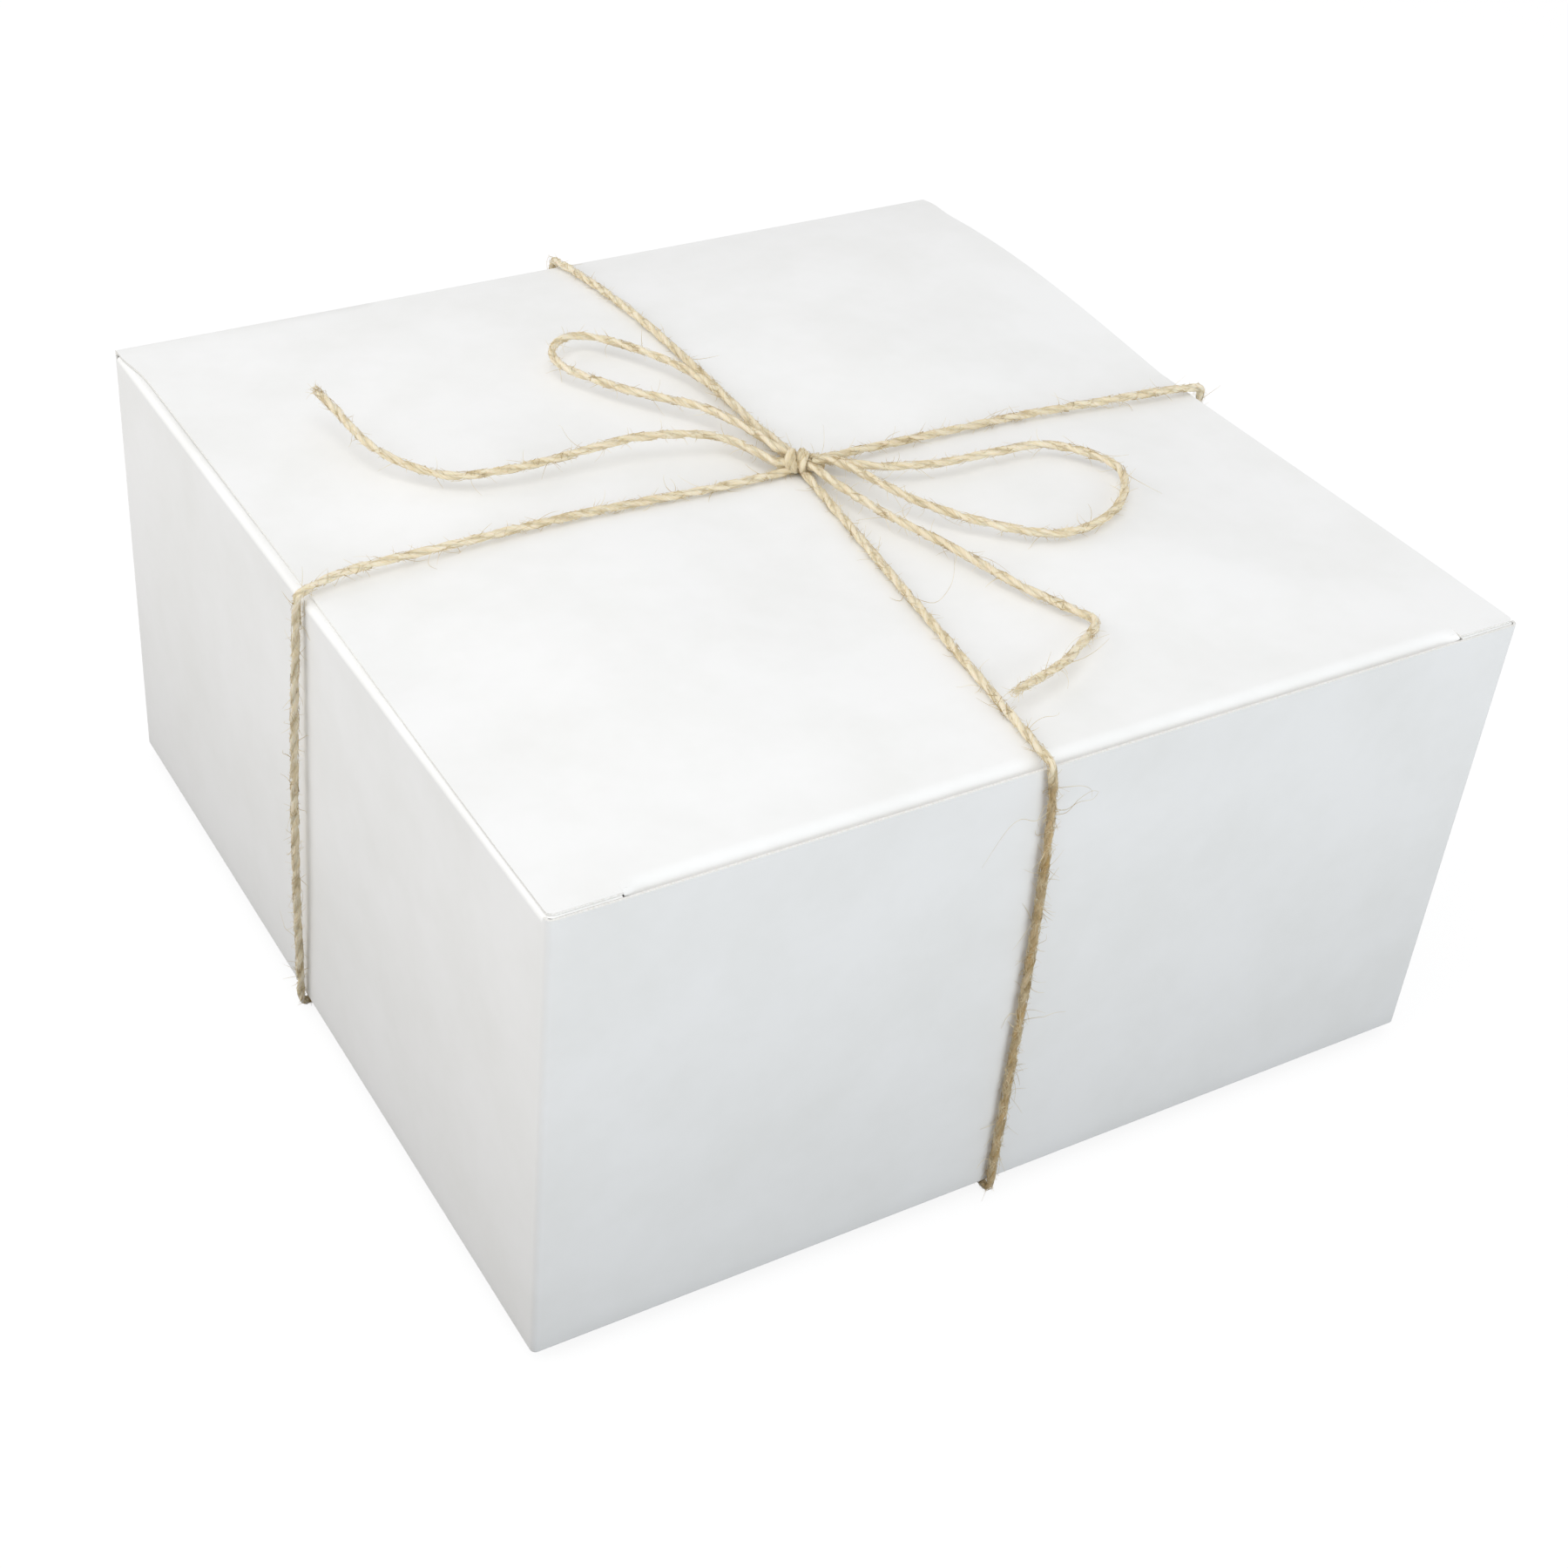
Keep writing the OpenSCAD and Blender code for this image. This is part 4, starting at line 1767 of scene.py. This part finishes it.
    def bound_spine(
        self, line: TwineLine, i: int, lot: FibreLot, draw: random.Random
    ) -> list[np.ndarray]:
        """Spine of a fibre that lies aslant across both plies.

        Args:
            line: Centre line of the stretch.
            i: Frame at which the fibre starts.
            lot: Kind of fibre.
            draw: Source of the draws.

        Returns:
            Points of the spine.
        """
        length = draw.uniform(*lot.length)
        slant = draw.gauss(0, lot.slant)
        angle = draw.uniform(0, 2 * math.pi)
        hold = (self.lay_r + self.ply_r) * draw.uniform(*self.bound_depth)
        last = len(line.centre) - 1
        spine = []
        for k in range(lot.bends + 1):
            gone = length * k / lot.bends
            j = min(last, round(i + gone * math.cos(slant) / self.step))
            radial = line.outward(j, angle + gone * math.sin(slant) / hold)
            lift = self.bound_lift * (2 * k / lot.bends - 1) ** 4
            spine.append(line.centre[j] + radial * (hold + lift))
        return spine

    def loose_spine(
        self, line: TwineLine, i: int, lot: FibreLot, draw: random.Random
    ) -> list[np.ndarray]:
        """Spine of a fibre that stands off the twine.

        Args:
            line: Centre line of the stretch.
            i: Frame at which the fibre starts.
            lot: Kind of fibre.
            draw: Source of the draws.

        Returns:
            Points of the spine, root first.
        """
        length = draw.triangular(lot.length[0], lot.length[1], lot.length[0])
        radial = line.outward(i, draw.uniform(0, 2 * math.pi))
        swirl = np.cross(line.tangent[i], radial) * draw.uniform(-lot.swirl, lot.swirl)
        heading = radial * draw.uniform(*lot.lean) + draw.choice((-1, 1)) * line.tangent[i] + swirl
        curl = np.array([draw.gauss(0, 1) for _ in range(3)]) * lot.curl
        place = line.centre[i] + radial * (self.lay_r + self.root_depth * self.ply_r)
        spine = [place]
        for _ in range(lot.bends):
            heading = heading / np.linalg.norm(heading) + curl * (length / lot.bends)
            place = place + heading / np.linalg.norm(heading) * (length / lot.bends)
            spine.append(place)
        return spine


def kept_near(p: Point) -> np.ndarray:
    """Place brought inside the CAD box widened by a little, and above the floor.

    Args:
        p: The place.

    Returns:
        The place, moved only where it lay outside.
    """
    low = np.array(CAD_BOX[0]) / MM - FIBRE_SPARE
    high = np.array(CAD_BOX[1]) / MM + FIBRE_SPARE
    low[2] = FIBRE_LOW
    return np.clip(np.asarray(p, float), low, high)


@dataclass(frozen=True)
class LongFibre:
    """One long loose fibre on an arm; its sizes are in millimetres.

    Its root lies so far inside the upper edge, or below the edge where the number is negative.
    Its bends are measured from the root: across the arm, outward and up.
    """

    root: float
    bends: tuple[Point, ...]


@dataclass(frozen=True)
class TwineArm:
    """One of the four arms of twine from the crossing below to the knot.

    The lifts are how far the slack strand stands off the board: inside the upper edge, beside
    the knot and half way down the wall. The sways are its sideways bows: inside the upper edge
    and on the wall, where it is fullest above the middle. The wall shade is the strength of the
    painted shade, a browner darkening, on the strand down the wall.
    """

    name: str
    out: tuple[int, int]
    low: float
    top: float
    edge_lift: float = 0.0
    knot_lift: float = 0.0
    wall_lift: float = 0.0
    edge_sway: float = 0.0
    sway: float = 0.0
    cast: float = SOME_WALL_SHADE
    strays: tuple[LongFibre, ...] = ()

    @property
    def outward(self) -> np.ndarray:
        """Direction out of the arm's wall, in x and y."""
        return np.array(self.out, float)

    @property
    def across(self) -> np.ndarray:
        """Direction along the arm's wall, in x and y."""
        return np.array([0.0, 1.0]) if self.out[0] else np.array([1.0, 0.0])

    def edge(self, levels: Levels) -> float:
        """Distance from the middle of the box to the arm's wall."""
        return levels.half_w if self.out[0] else levels.half_d

    def depth(self, levels: Levels, p: np.ndarray) -> float:
        """How far a place lies inside the upper edge, or below it as a negative number.

        Args:
            levels: Levels of the box.
            p: The place.

        Returns:
            The distance.
        """
        inside = self.edge(levels) - self.out[0] * p[0] - self.out[1] * p[1]
        return inside if inside > 0 else p[2] - levels.lid_z


@dataclass
class ParcelTwine:
    """Twine that goes round the box both ways and crosses under the base."""

    levels: Levels
    finishes: Finishes
    strand: JuteStrand
    lid: Lid
    knot_x: float = 5.0
    knot_y: float = -0.5
    low_x: float = -3.5
    low_y: float = 3.5
    hook_r: float = 2.7
    mid_z: float = 52.0
    lift: float = 0.05
    lift_at: float = 12.0
    knot_reach: float = 40.0
    sway_skew: float = 0.6
    wall_shade_fade: float = 6.0
    lid_share: float = 0.02
    wall_share: float = 0.04
    turn_step: float = 9.0
    reach_in: float = 2.0
    reach_up: float = 3.0
    face_zone: float = 3.0
    stray_cells: int = 5
    low_weight: float = 10.0
    seed_apart: int = 10
    arms: dict[str, TwineArm] = field(default_factory=lambda: {
        # Painted shade on the wall strands is strongest on the front and absent on the left.
        "front": TwineArm("front", (0, -1), -3.5, -7.0, sway=1.6, cast=0.58, strays=(
            LongFibre(-8.5, ((-4, 1.2, -0.4), (-8, 1.8, 1.6), (-10.8, 1.9, 0), (-14.4, 1.5, -7))),
            LongFibre(-4, ((2.5, 1.2, 0.5), (5, 1.7, 0.2), (7, 1.8, -1.2), (7.6, 1.6, -3))),
            LongFibre(-8, ((2, 1.1, -0.6), (4.4, 1.7, 0.8), (7.2, 1.8, 0.6), (8.4, 1.7, 1.8))),
            LongFibre(-10, ((2.2, 1.2, 0.6), (4, 1.6, 3), (6.4, 1.7, 4.2), (8.2, 1.6, 3.6))),
            LongFibre(-7, ((-1.6, 1.2, 0.8), (-3, 1.5, 0.2), (-3.6, 1.4, -2), (-2.8, 1.1, -4))),
            LongFibre(-18, ((-1.4, 1.0, 0.4), (-2.4, 1.3, -1.6), (-2, 1.2, -4), (-0.6, 1.0, -6))),
            LongFibre(8, ((2, -1, 0.6), (4.6, -1.6, 0.9), (7, -1.2, 0.8), (8.4, -2, 0.6))),
            LongFibre(53, ((2.3, 4.9, 0.8), (7.3, 2.4, 1.6), (11, -1.8, 2), (13.5, -5.7, 2.2))),
        )),
        "back": TwineArm("back", (0, 1), -3.5, 2.0),
        "left": TwineArm(
            "left", (-1, 0), 3.5, -3.0, edge_lift=1.2, wall_lift=0.9, edge_sway=1.4, cast=0.0
        ),
        "right": TwineArm("right", (1, 0), 3.5, -5.0, edge_lift=0.8, knot_lift=1.2),
    })

    def over(self, x: float, y: float) -> float:
        """Height of the twine's centre where it lies on the lid."""
        lv = self.levels
        return lv.lid_z + self.lid.rise(x, y) + lv.wall_off + self.lift

    def over_lid(self, arm: TwineArm, top_at: np.ndarray) -> list[np.ndarray]:
        """Centre line of an arm from the knot to the upper edge.

        Args:
            arm: Arm to lay.
            top_at: Where it crosses the upper edge, in x and y.

        Returns:
            Points of the line, the last of them before the edge.
        """
        knot = np.array([self.knot_x, self.knot_y])
        span = float(np.linalg.norm(top_at - knot))
        out = []
        for share in steps(0, 1, self.lid_share)[:-1]:
            x, y = knot + (top_at - knot) * share
            left = span * (1 - share) / self.lift_at
            rising = left * math.exp(1 - left)
            lift = arm.edge_lift * rising
            lift += arm.knot_lift * ease(1 - span * share / self.knot_reach)
            x, y = np.array([x, y]) + arm.across * arm.edge_sway * rising
            out.append(np.array([x, y, self.over(x, y) + lift]))
        return out

    def arm_route(self, arm: TwineArm) -> list[np.ndarray]:
        """Centre line of an arm, from the knot over the lid and down to the lower edge.

        Args:
            arm: Arm to lay.

        Returns:
            Points of the line, which ends on the base line at the lower edge.
        """
        lv = self.levels
        outward = arm.outward
        top_at = outward * arm.edge(lv) + arm.across * arm.top
        low_at = outward * arm.edge(lv) + arm.across * arm.low
        r = lv.wall_off + self.lift
        out = self.over_lid(arm, top_at)
        slope = math.degrees(math.atan(arm.edge_lift * math.e / self.lift_at))
        for turn in steps(slope, 90, self.turn_step):
            a = math.radians(turn)
            at = top_at + outward * r * math.sin(a)
            out.append(np.array([at[0], at[1], lv.lid_z + r * math.cos(a)]))
        for share in steps(0, 1, self.wall_share)[1:]:
            slack = arm.wall_lift * math.sin(math.pi * share)
            bend = math.sin(math.pi * share ** self.sway_skew)
            at = top_at + (low_at - top_at) * share
            at = at + outward * (r + slack) + arm.across * arm.sway * bend
            out.append(np.array([at[0], at[1], lv.lid_z + (lv.floor_z - lv.lid_z) * share]))
        for turn in steps(0, 90, self.turn_step)[1:]:
            a = math.radians(turn)
            at = low_at + outward * r * math.cos(a)
            out.append(np.array([at[0], at[1], lv.floor_z - lv.wall_off * math.sin(a)]))
        return out

    def stray_spines(self, line: TwineLine, arm: TwineArm) -> list[list[np.ndarray]]:
        """Spines of the long fibres that are placed on an arm one by one.

        Args:
            line: Centre line of the whole length.
            arm: Arm that they stand on.

        Returns:
            The spines, root first.
        """
        axes = np.array([(*arm.across, 0), (*arm.outward, 0), (0, 0, 1)], float)
        spines = []
        for stray in arm.strays:
            root = line.centre[line.index_at(lambda p: abs(arm.depth(self.levels, p) - stray.root))]
            bends = [root] + [root + np.array(bend) @ axes for bend in stray.bends]
            spines.append(smooth_route(bends, self.stray_cells))
        return spines

    def wall_shade_at(self, p: np.ndarray) -> float:
        """Strength of the painted shade: none on the lid, most down a wall.

        Args:
            p: Place on the centre line.

        Returns:
            The strength from 0 to 1.
        """
        lv = self.levels
        down = ease((lv.lid_z - p[2]) / self.wall_shade_fade)
        for arm in self.arms.values():
            if arm.out[0] * p[0] > lv.half_w or arm.out[1] * p[1] > lv.half_d:
                return arm.cast * down
        return SOME_WALL_SHADE * down

    def run(self, first: str, second: str, hook: tuple[int, int]) -> list[np.ndarray]:
        """Centre line of one length of twine: down one arm, round the hook, up another.

        Args:
            first: Arm along the depth, which the line comes down.
            second: Arm along the width, which it goes up.
            hook: Side of the crossing in x and y on which the line turns.

        Returns:
            Points of the line.
        """
        base_z = self.levels.floor_z - self.levels.wall_off
        out = self.arm_route(self.arms[first])
        hx, hy = hook
        r = self.hook_r
        centre = np.array([self.low_x + hx * r, self.low_y + hy * r])
        for turn in steps(0, 90, self.turn_step):
            a = math.radians(turn)
            at = centre + r * np.array([-hx * math.cos(a), -hy * math.sin(a)])
            out.append(np.array([at[0], at[1], base_z]))
        out += self.arm_route(self.arms[second])[::-1]
        return out

    def clear(self, p: np.ndarray) -> np.ndarray:
        """Keep a loose fibre's point out of the board and above the floor.

        Args:
            p: The point.

        Returns:
            The point, moved to the nearest face where it lay in the board.
        """
        lv = self.levels
        x, y, z = p
        if abs(x) < lv.half_w and abs(y) < lv.half_d:
            if z > lv.lid_z - self.face_zone:
                z = max(z, lv.lid_z + self.lid.rise(x, y) + FIBRE_GAP)
            elif z < lv.floor_z + self.face_zone:
                z = min(z, lv.floor_z - FIBRE_GAP)
            elif lv.half_w - abs(x) < lv.half_d - abs(y):
                x = math.copysign(lv.half_w + FIBRE_GAP, x)
            else:
                y = math.copysign(lv.half_d + FIBRE_GAP, y)
        return kept_near((x, y, z))

    def upper_half(self, arm: TwineArm, stretch: Stretch) -> list[Piece]:
        """Make the half of an arm that goes over the upper edge.

        Args:
            arm: The arm.
            stretch: Its stretch of the line.

        Returns:
            The plies and the fibres.
        """
        lv = self.levels
        edge = arm.outward * arm.edge(lv)
        wall = edge + arm.outward * lv.wall_off
        inside = edge - arm.outward * self.reach_up
        strays = self.stray_spines(stretch.line, arm)
        made = self.strand.lay_twine(f"twine_{arm.name}_upper", stretch, self.clear, strays)
        for piece in made:
            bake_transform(piece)
        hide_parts(f"twine_{arm.name}_top")
        return made

    def lower_half(self, arm: TwineArm, stretch: Stretch) -> list[Piece]:
        """Make the half of an arm that goes round the lower edge.

        Args:
            arm: The arm.
            stretch: Its stretch of the line.

        Returns:
            The plies and the fibres.
        """
        lv = self.levels
        edge = arm.outward * arm.edge(lv)
        wall = edge + arm.outward * lv.wall_off
        inside = edge - arm.outward * self.reach_in
        made = self.strand.lay_twine(f"twine_{arm.name}_lower", stretch, self.clear)
        for piece in made:
            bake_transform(piece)
        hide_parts(f"twine_{arm.name}_rise", "twine_base_cross")
        return made

    def build(self) -> list[Piece]:
        """Lay both lengths of twine and cut them into pieces at the crossing and half way up.

        Returns:
            The pieces of all four arms.
        """
        out = []
        lengths = (("front", "left", (-1, -1)), ("back", "right", (1, 1)))
        for number, (first, second, hook) in enumerate(lengths):
            line = TwineLine.along(self.run(first, second, hook), self.strand.step, self.wall_shade_at)
            seed = number * self.seed_apart + 1
            cross = line.index_at(self.from_crossing)
            last = len(line.centre) - 1
            down = min(range(cross), key=lambda i: abs(line.centre[i][2] - self.mid_z))
            up = min(range(cross, last + 1), key=lambda i: abs(line.centre[i][2] - self.mid_z))
            out += self.upper_half(self.arms[first], Stretch(line, 0, down, seed))
            out += self.lower_half(self.arms[first], Stretch(line, down, cross, seed))
            out += self.lower_half(self.arms[second], Stretch(line, cross, up, seed))
            out += self.upper_half(self.arms[second], Stretch(line, up, last, seed))
        return out

    def from_crossing(self, p: np.ndarray) -> float:
        """Measure of a place that is least at the crossing below the base."""
        return abs(p[0] - self.low_x) + abs(p[1] - self.low_y) + self.low_weight * p[2]


class FreeEnd(Enum):
    """Free lengths of the bow, and whether each ends in the knot or is cut bare."""

    LOOP_LEFT = ("bow_loop_left", "object")
    LOOP_RIGHT = ("bow_loop_right", "object")
    TAIL_LEFT = ("bow_tail_left", "bare")
    TAIL_RIGHT = ("bow_tail_right", "bare")


# Each point is x, y and height above the lid's top face.
ROUTES: dict[FreeEnd, list[Point]] = {
    FreeEnd.LOOP_LEFT: [
        (3.7, 4, 3.9), (2, 12.5, 5), (1.5, 23.5, 5.6), (0, 35.5, 6), (-6, 48, 6.5), (-13.5, 57.5, 6.5),
        (-20.5, 57, 6.5), (-24, 48, 6.5), (-16, 34, 6), (-5.5, 22.5, 5.8), (-0.8, 11, 5.6), (1.4, 3, 4.8),
    ],
    FreeEnd.LOOP_RIGHT: [
        (9.6, -1.9, 3.3), (17, -10, 4), (28.5, -14.5, 4.5), (41, -15.5, 4.6), (53.5, -17.5, 4.6),
        (61.5, -29.5, 4), (51.5, -42, 3.6), (34.5, -44.5, 3.6), (18, -29, 4.6), (11, -10.5, 5),
        (8.9, -4.1, 4.2),
    ],
    FreeEnd.TAIL_LEFT: [
        (0, 0.9, 3), (-5.5, 10.5, 4.4), (-14.5, 13.5, 6), (-26, 15, 6.6), (-40.5, 14.5, 6.2),
        (-53, 15, 5.8), (-64, 19, 5.2), (-72.5, 31, 6.4), (-74.5, 46.5, 7.8), (-75.5, 54.5, 8.6),
    ],
    FreeEnd.TAIL_RIGHT: [
        (6.1, -5.1, 3), (6.5, -12.5, 3.4), (9, -25, 3.4), (14, -39.5, 3.2), (18.5, -55.5, 2.9),
        (23, -66.5, 2.7), (24.5, -72, 2.7), (17.5, -77, 3.1), (9.5, -81.5, 3.6), (-4, -86, 4.4),
    ],
}


@dataclass
class Bow:
    """Knot, two loops and two tails, tied in the twine on top of the box."""

    levels: Levels
    finishes: Finishes
    strand: JuteStrand
    lid: Lid
    knot: Point = (5.0, -0.5, 2.8)
    knot_turn: float = -30.0
    wrap_r: float = 1.55
    wrap_turns: float = 2.4
    wrap_pitch: float = 2.3
    wrap_slant: float = 0.7
    wrap_start: float = 0.6
    wrap_step: float = 0.04
    wrap_ply_r: float = 0.78
    wrap_lay_r: float = 0.42
    end_sink: float = 0.55
    end_turns: float = 0.4
    core_off: float = 0.55
    core_half: float = 4.6
    core_aside: float = 0.35
    core_aside_rate: float = 2.2
    core_up: float = 0.4
    core_up_rate: float = 2.4
    core_low: float = 0.35
    core_step: float = 0.1
    knot_cell: float = 0.7
    inward: float = 0.55
    route_cells: int = 4
    diameter: float = 2.2
    free_seed: int = 40
    knot_seed: int = 60

    @property
    def centre(self) -> np.ndarray:
        """Middle of the knot."""
        return np.array([self.knot[0], self.knot[1], self.knot[2] + self.levels.lid_z])

    def free_length(self, end: FreeEnd, seed: int) -> list[Piece]:
        """Args:
            end: Which free length it is.
            seed: Number that sets the draws.

        Returns:
            The plies and the fibres.
        """
        name, far_end = end.value
        route = [np.array(p, float) + (0, 0, self.levels.lid_z) for p in ROUTES[end]]
        path = smooth_route(route, self.route_cells)
        laid = [path[0] + (self.centre - path[0]) * self.inward] + path
        if far_end == "object":
            laid.append(path[-1] + (self.centre - path[-1]) * self.inward)
        line = TwineLine.along(laid, self.strand.step, bare_end=far_end == "bare")
        made = self.strand.lay_twine(f"{name}_twine", Stretch.whole(line, seed), self.clear)
        for piece in made:
            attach(piece, Body.BOW.value)
        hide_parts(name)
        [v * MM for v in laid[0]]
        [[v * MM for v in p] for p in laid]
        return made

    def clear(self, p: np.ndarray) -> np.ndarray:
        """Keep a loose fibre's point above the lid."""
        surface = self.levels.lid_z + self.lid.rise(p[0], p[1])
        return kept_near((p[0], p[1], max(p[2], surface + FIBRE_GAP)))

    def knot_routes(self) -> dict[str, list[np.ndarray]]:
        """Lines of the knot: turns round the strands that run through it.

        Returns:
            Each piece's name and the points of its line.
        """
        turn = math.radians(self.knot_turn)
        axis = np.array([math.cos(turn), math.sin(turn), 0.0])
        side = np.array([-math.sin(turn), math.cos(turn), 0.0])
        up = np.array([0.0, 0.0, 1.0])
        half = self.wrap_turns / 2
        wraps = []
        for t in steps(-half, half, self.wrap_step):
            a = 2 * math.pi * t + self.wrap_start
            sunk = self.end_sink * ease((abs(t) - half + self.end_turns) / self.end_turns)
            across = self.wrap_r * (1 - sunk) * (math.cos(a) * side + math.sin(a) * up)
            along = t * self.wrap_pitch + self.wrap_slant * math.cos(a)
            wraps.append(self.centre + axis * along + across)
        routes = {"bow_knot_wraps": wraps}
        for name, off in (("bow_knot_core", self.core_off), ("bow_knot_core_back", -self.core_off)):
            core = []
            for s in steps(-1, 1, self.core_step):
                aside = off + self.core_aside * math.sin(self.core_aside_rate * s + off)
                height = self.core_up * math.cos(self.core_up_rate * s - off) - self.core_low
                core.append(self.centre + axis * s * self.core_half + side * aside + up * height)
            routes[name] = core
        return routes

    def knot_pieces(self) -> list[Piece]:
        """Wind the knot in slightly stouter twine, as its turns are pressed flat.

        Returns:
            The plies and the fibres of each line.
        """
        strand = replace(self.strand, ply_r=self.wrap_ply_r, lay_r=self.wrap_lay_r)
        out = []
        for number, (name, route) in enumerate(self.knot_routes().items()):
            line = TwineLine.along(route, strand.step * self.knot_cell)
            made = strand.lay_twine(name, Stretch.whole(line, self.knot_seed + number), self.clear)
            for piece in made:
                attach(piece, Body.BOW.value)
            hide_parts("bow_knot")
            out += made
        return out

    def build(self) -> list[Piece]:
        """Build the free lengths, then the knot.

        Returns:
            The bow's pieces.
        """
        out = []
        for number, end in enumerate(FreeEnd):
            out += self.free_length(end, self.free_seed + number)
        return out + self.knot_pieces()


# ---------------------------------------------------------------- studio


@dataclass
class Camera:
    """Camera at the three-quarter view from above the front left corner."""

    focal_mm: float = 56.85
    sensor_mm: float = 36.0
    frame_px: float = 1800.0
    principal_x_px: float = 762.1
    principal_y_px: float = 893.0
    location: Point = (-236.9, -357.7, 350.6)
    azimuth: float = -31.08
    elevation: float = 37.0
    roll: float = 3.93
    clip_m: tuple[float, float] = (0.01, 50.0)

    def build(self) -> list[Piece]:
        """Make the camera and make it the scene's own.

        Returns:
            The camera.
        """
        data = bpy.data.cameras.new("camera")
        data.lens = self.focal_mm
        data.sensor_width = self.sensor_mm
        data.sensor_fit = "AUTO"
        data.shift_x = (self.frame_px / 2 - self.principal_x_px) / self.frame_px
        data.shift_y = (self.principal_y_px - self.frame_px / 2) / self.frame_px
        data.clip_start, data.clip_end = self.clip_m
        made = bpy.data.objects.new("camera", data)
        bpy.context.scene.collection.objects.link(made)
        a = math.radians(self.azimuth)
        e = math.radians(self.elevation)
        back = Vector((math.sin(a) * math.cos(e), -math.cos(a) * math.cos(e), math.sin(e)))
        right = Vector((0, 0, 1)).cross(back).normalized()
        up = back.cross(right)
        turned = Matrix((right, up, back)).transposed() @ Matrix.Rotation(math.radians(self.roll), 3, "Z")
        made.matrix_world = Matrix.Translation(Vector(self.location) * MM) @ turned.to_4x4()
        bpy.context.scene.camera = made
        return [made]


@dataclass(frozen=True)
class Lamp:
    """Soft box: its place, its side length in metres, its power in watts and its tint."""

    name: str
    place: Point
    size: float
    power: float
    tint: str


@dataclass
class Studio:
    """White floor, white surroundings and soft boxes.

    The floor lies just low enough for untied twine to show on it.
    """

    floor_half_m: float = 6.0
    floor_drop_m: float = 0.0009
    aim_m: Point = (0.0, 0.0, 0.05)
    sky: float = 0.615
    sky_tint: str = "#fefeff"
    seen_tint: str = "#ffffff"
    lamps: tuple[Lamp, ...] = (
        Lamp("overhead_softbox", (-0.4, -0.25, 0.95), 0.9, 3.3, "#ffffff"),
        Lamp("left_softbox", (-1.15, 0.6, 0.5), 1.0, 6.2, "#fffdfa"),
        Lamp("front_softbox", (0.3, -1.4, 0.4), 1.0, 8.0, "#f1f9ff"),
    )

    def floor(self) -> Piece:
        """Lay the floor.

        Returns:
            The floor.
        """
        h = self.floor_half_m / MM
        z = -self.floor_drop_m / MM
        corners = [(-h, -h, z), (h, -h, z), (h, h, z), (-h, h, z)]
        made = mesh_object("floor", corners, [(0, 1, 2, 3)], [WhiteSweep().build()])
        return made

    def surroundings(self) -> None:
        """Set the world: white where it is seen, an even soft light elsewhere."""
        world = bpy.data.worlds.new("studio")
        bpy.context.scene.world = world
        world.use_nodes = True
        tree = world.node_tree
        tree.nodes.clear()
        paths = add_node(tree, "ShaderNodeLightPath").outputs
        seen = add_node(
            tree, "ShaderNodeMath", {"operation": "MAXIMUM"},
            {0: paths["Is Camera Ray"], 1: paths["Is Transmission Ray"]},
        ).outputs["Value"]
        sky = add_node(
            tree, "ShaderNodeBackground", inputs={"Color": linear(self.sky_tint), "Strength": self.sky}
        )
        white = add_node(
            tree, "ShaderNodeBackground", inputs={"Color": linear(self.seen_tint), "Strength": 1.0}
        )
        mix = add_node(
            tree, "ShaderNodeMixShader",
            inputs={"Fac": seen, 1: sky.outputs["Background"], 2: white.outputs["Background"]},
        )
        add_node(tree, "ShaderNodeOutputWorld", inputs={"Surface": mix.outputs["Shader"]})

    def lights(self) -> list[Piece]:
        """Hang the soft boxes, each turned to the box's middle.

        Returns:
            The soft boxes.
        """
        out = []
        for lamp in self.lamps:
            data = bpy.data.lights.new(lamp.name, "AREA")
            data.shape = "SQUARE"
            data.size = lamp.size
            data.energy = lamp.power
            data.color = linear(lamp.tint)[:3]
            made = bpy.data.objects.new(lamp.name, data)
            made.location = lamp.place
            aim = Vector(lamp.place) - Vector(self.aim_m)
            made.rotation_euler = aim.to_track_quat("Z", "Y").to_euler()
            bpy.context.scene.collection.objects.link(made)
            out.append(made)
        return out

    def build(self) -> list[Piece]:
        """Build the studio and set the view.

        Returns:
            The floor and the soft boxes.
        """
        self.surroundings()
        bpy.context.scene.view_settings.view_transform = "Standard"
        return [self.floor(), *self.lights()]


def main() -> None:
    """Build the camera, the bow, the box, the twine round it and the studio."""
    levels = Levels.measured()
    finishes = Finishes.made()
    strand = JuteStrand(finishes)
    lid = Lid(levels, finishes)
    assemblies = (
        Camera(),
        Bow(levels, finishes, strand, lid),
        Carton(levels, finishes),
        lid,
        DustFlap(levels, finishes, -1, Body.DUST_LEFT),
        DustFlap(levels, finishes, 1, Body.DUST_RIGHT),
        ParcelTwine(levels, finishes, strand, lid),
        Studio(),
    )
    for assembly in assemblies:
        for piece in assembly.build():
            LOG.info("%s: %s", type(assembly).__name__, piece.name)


if __name__ == "__main__":
    main()
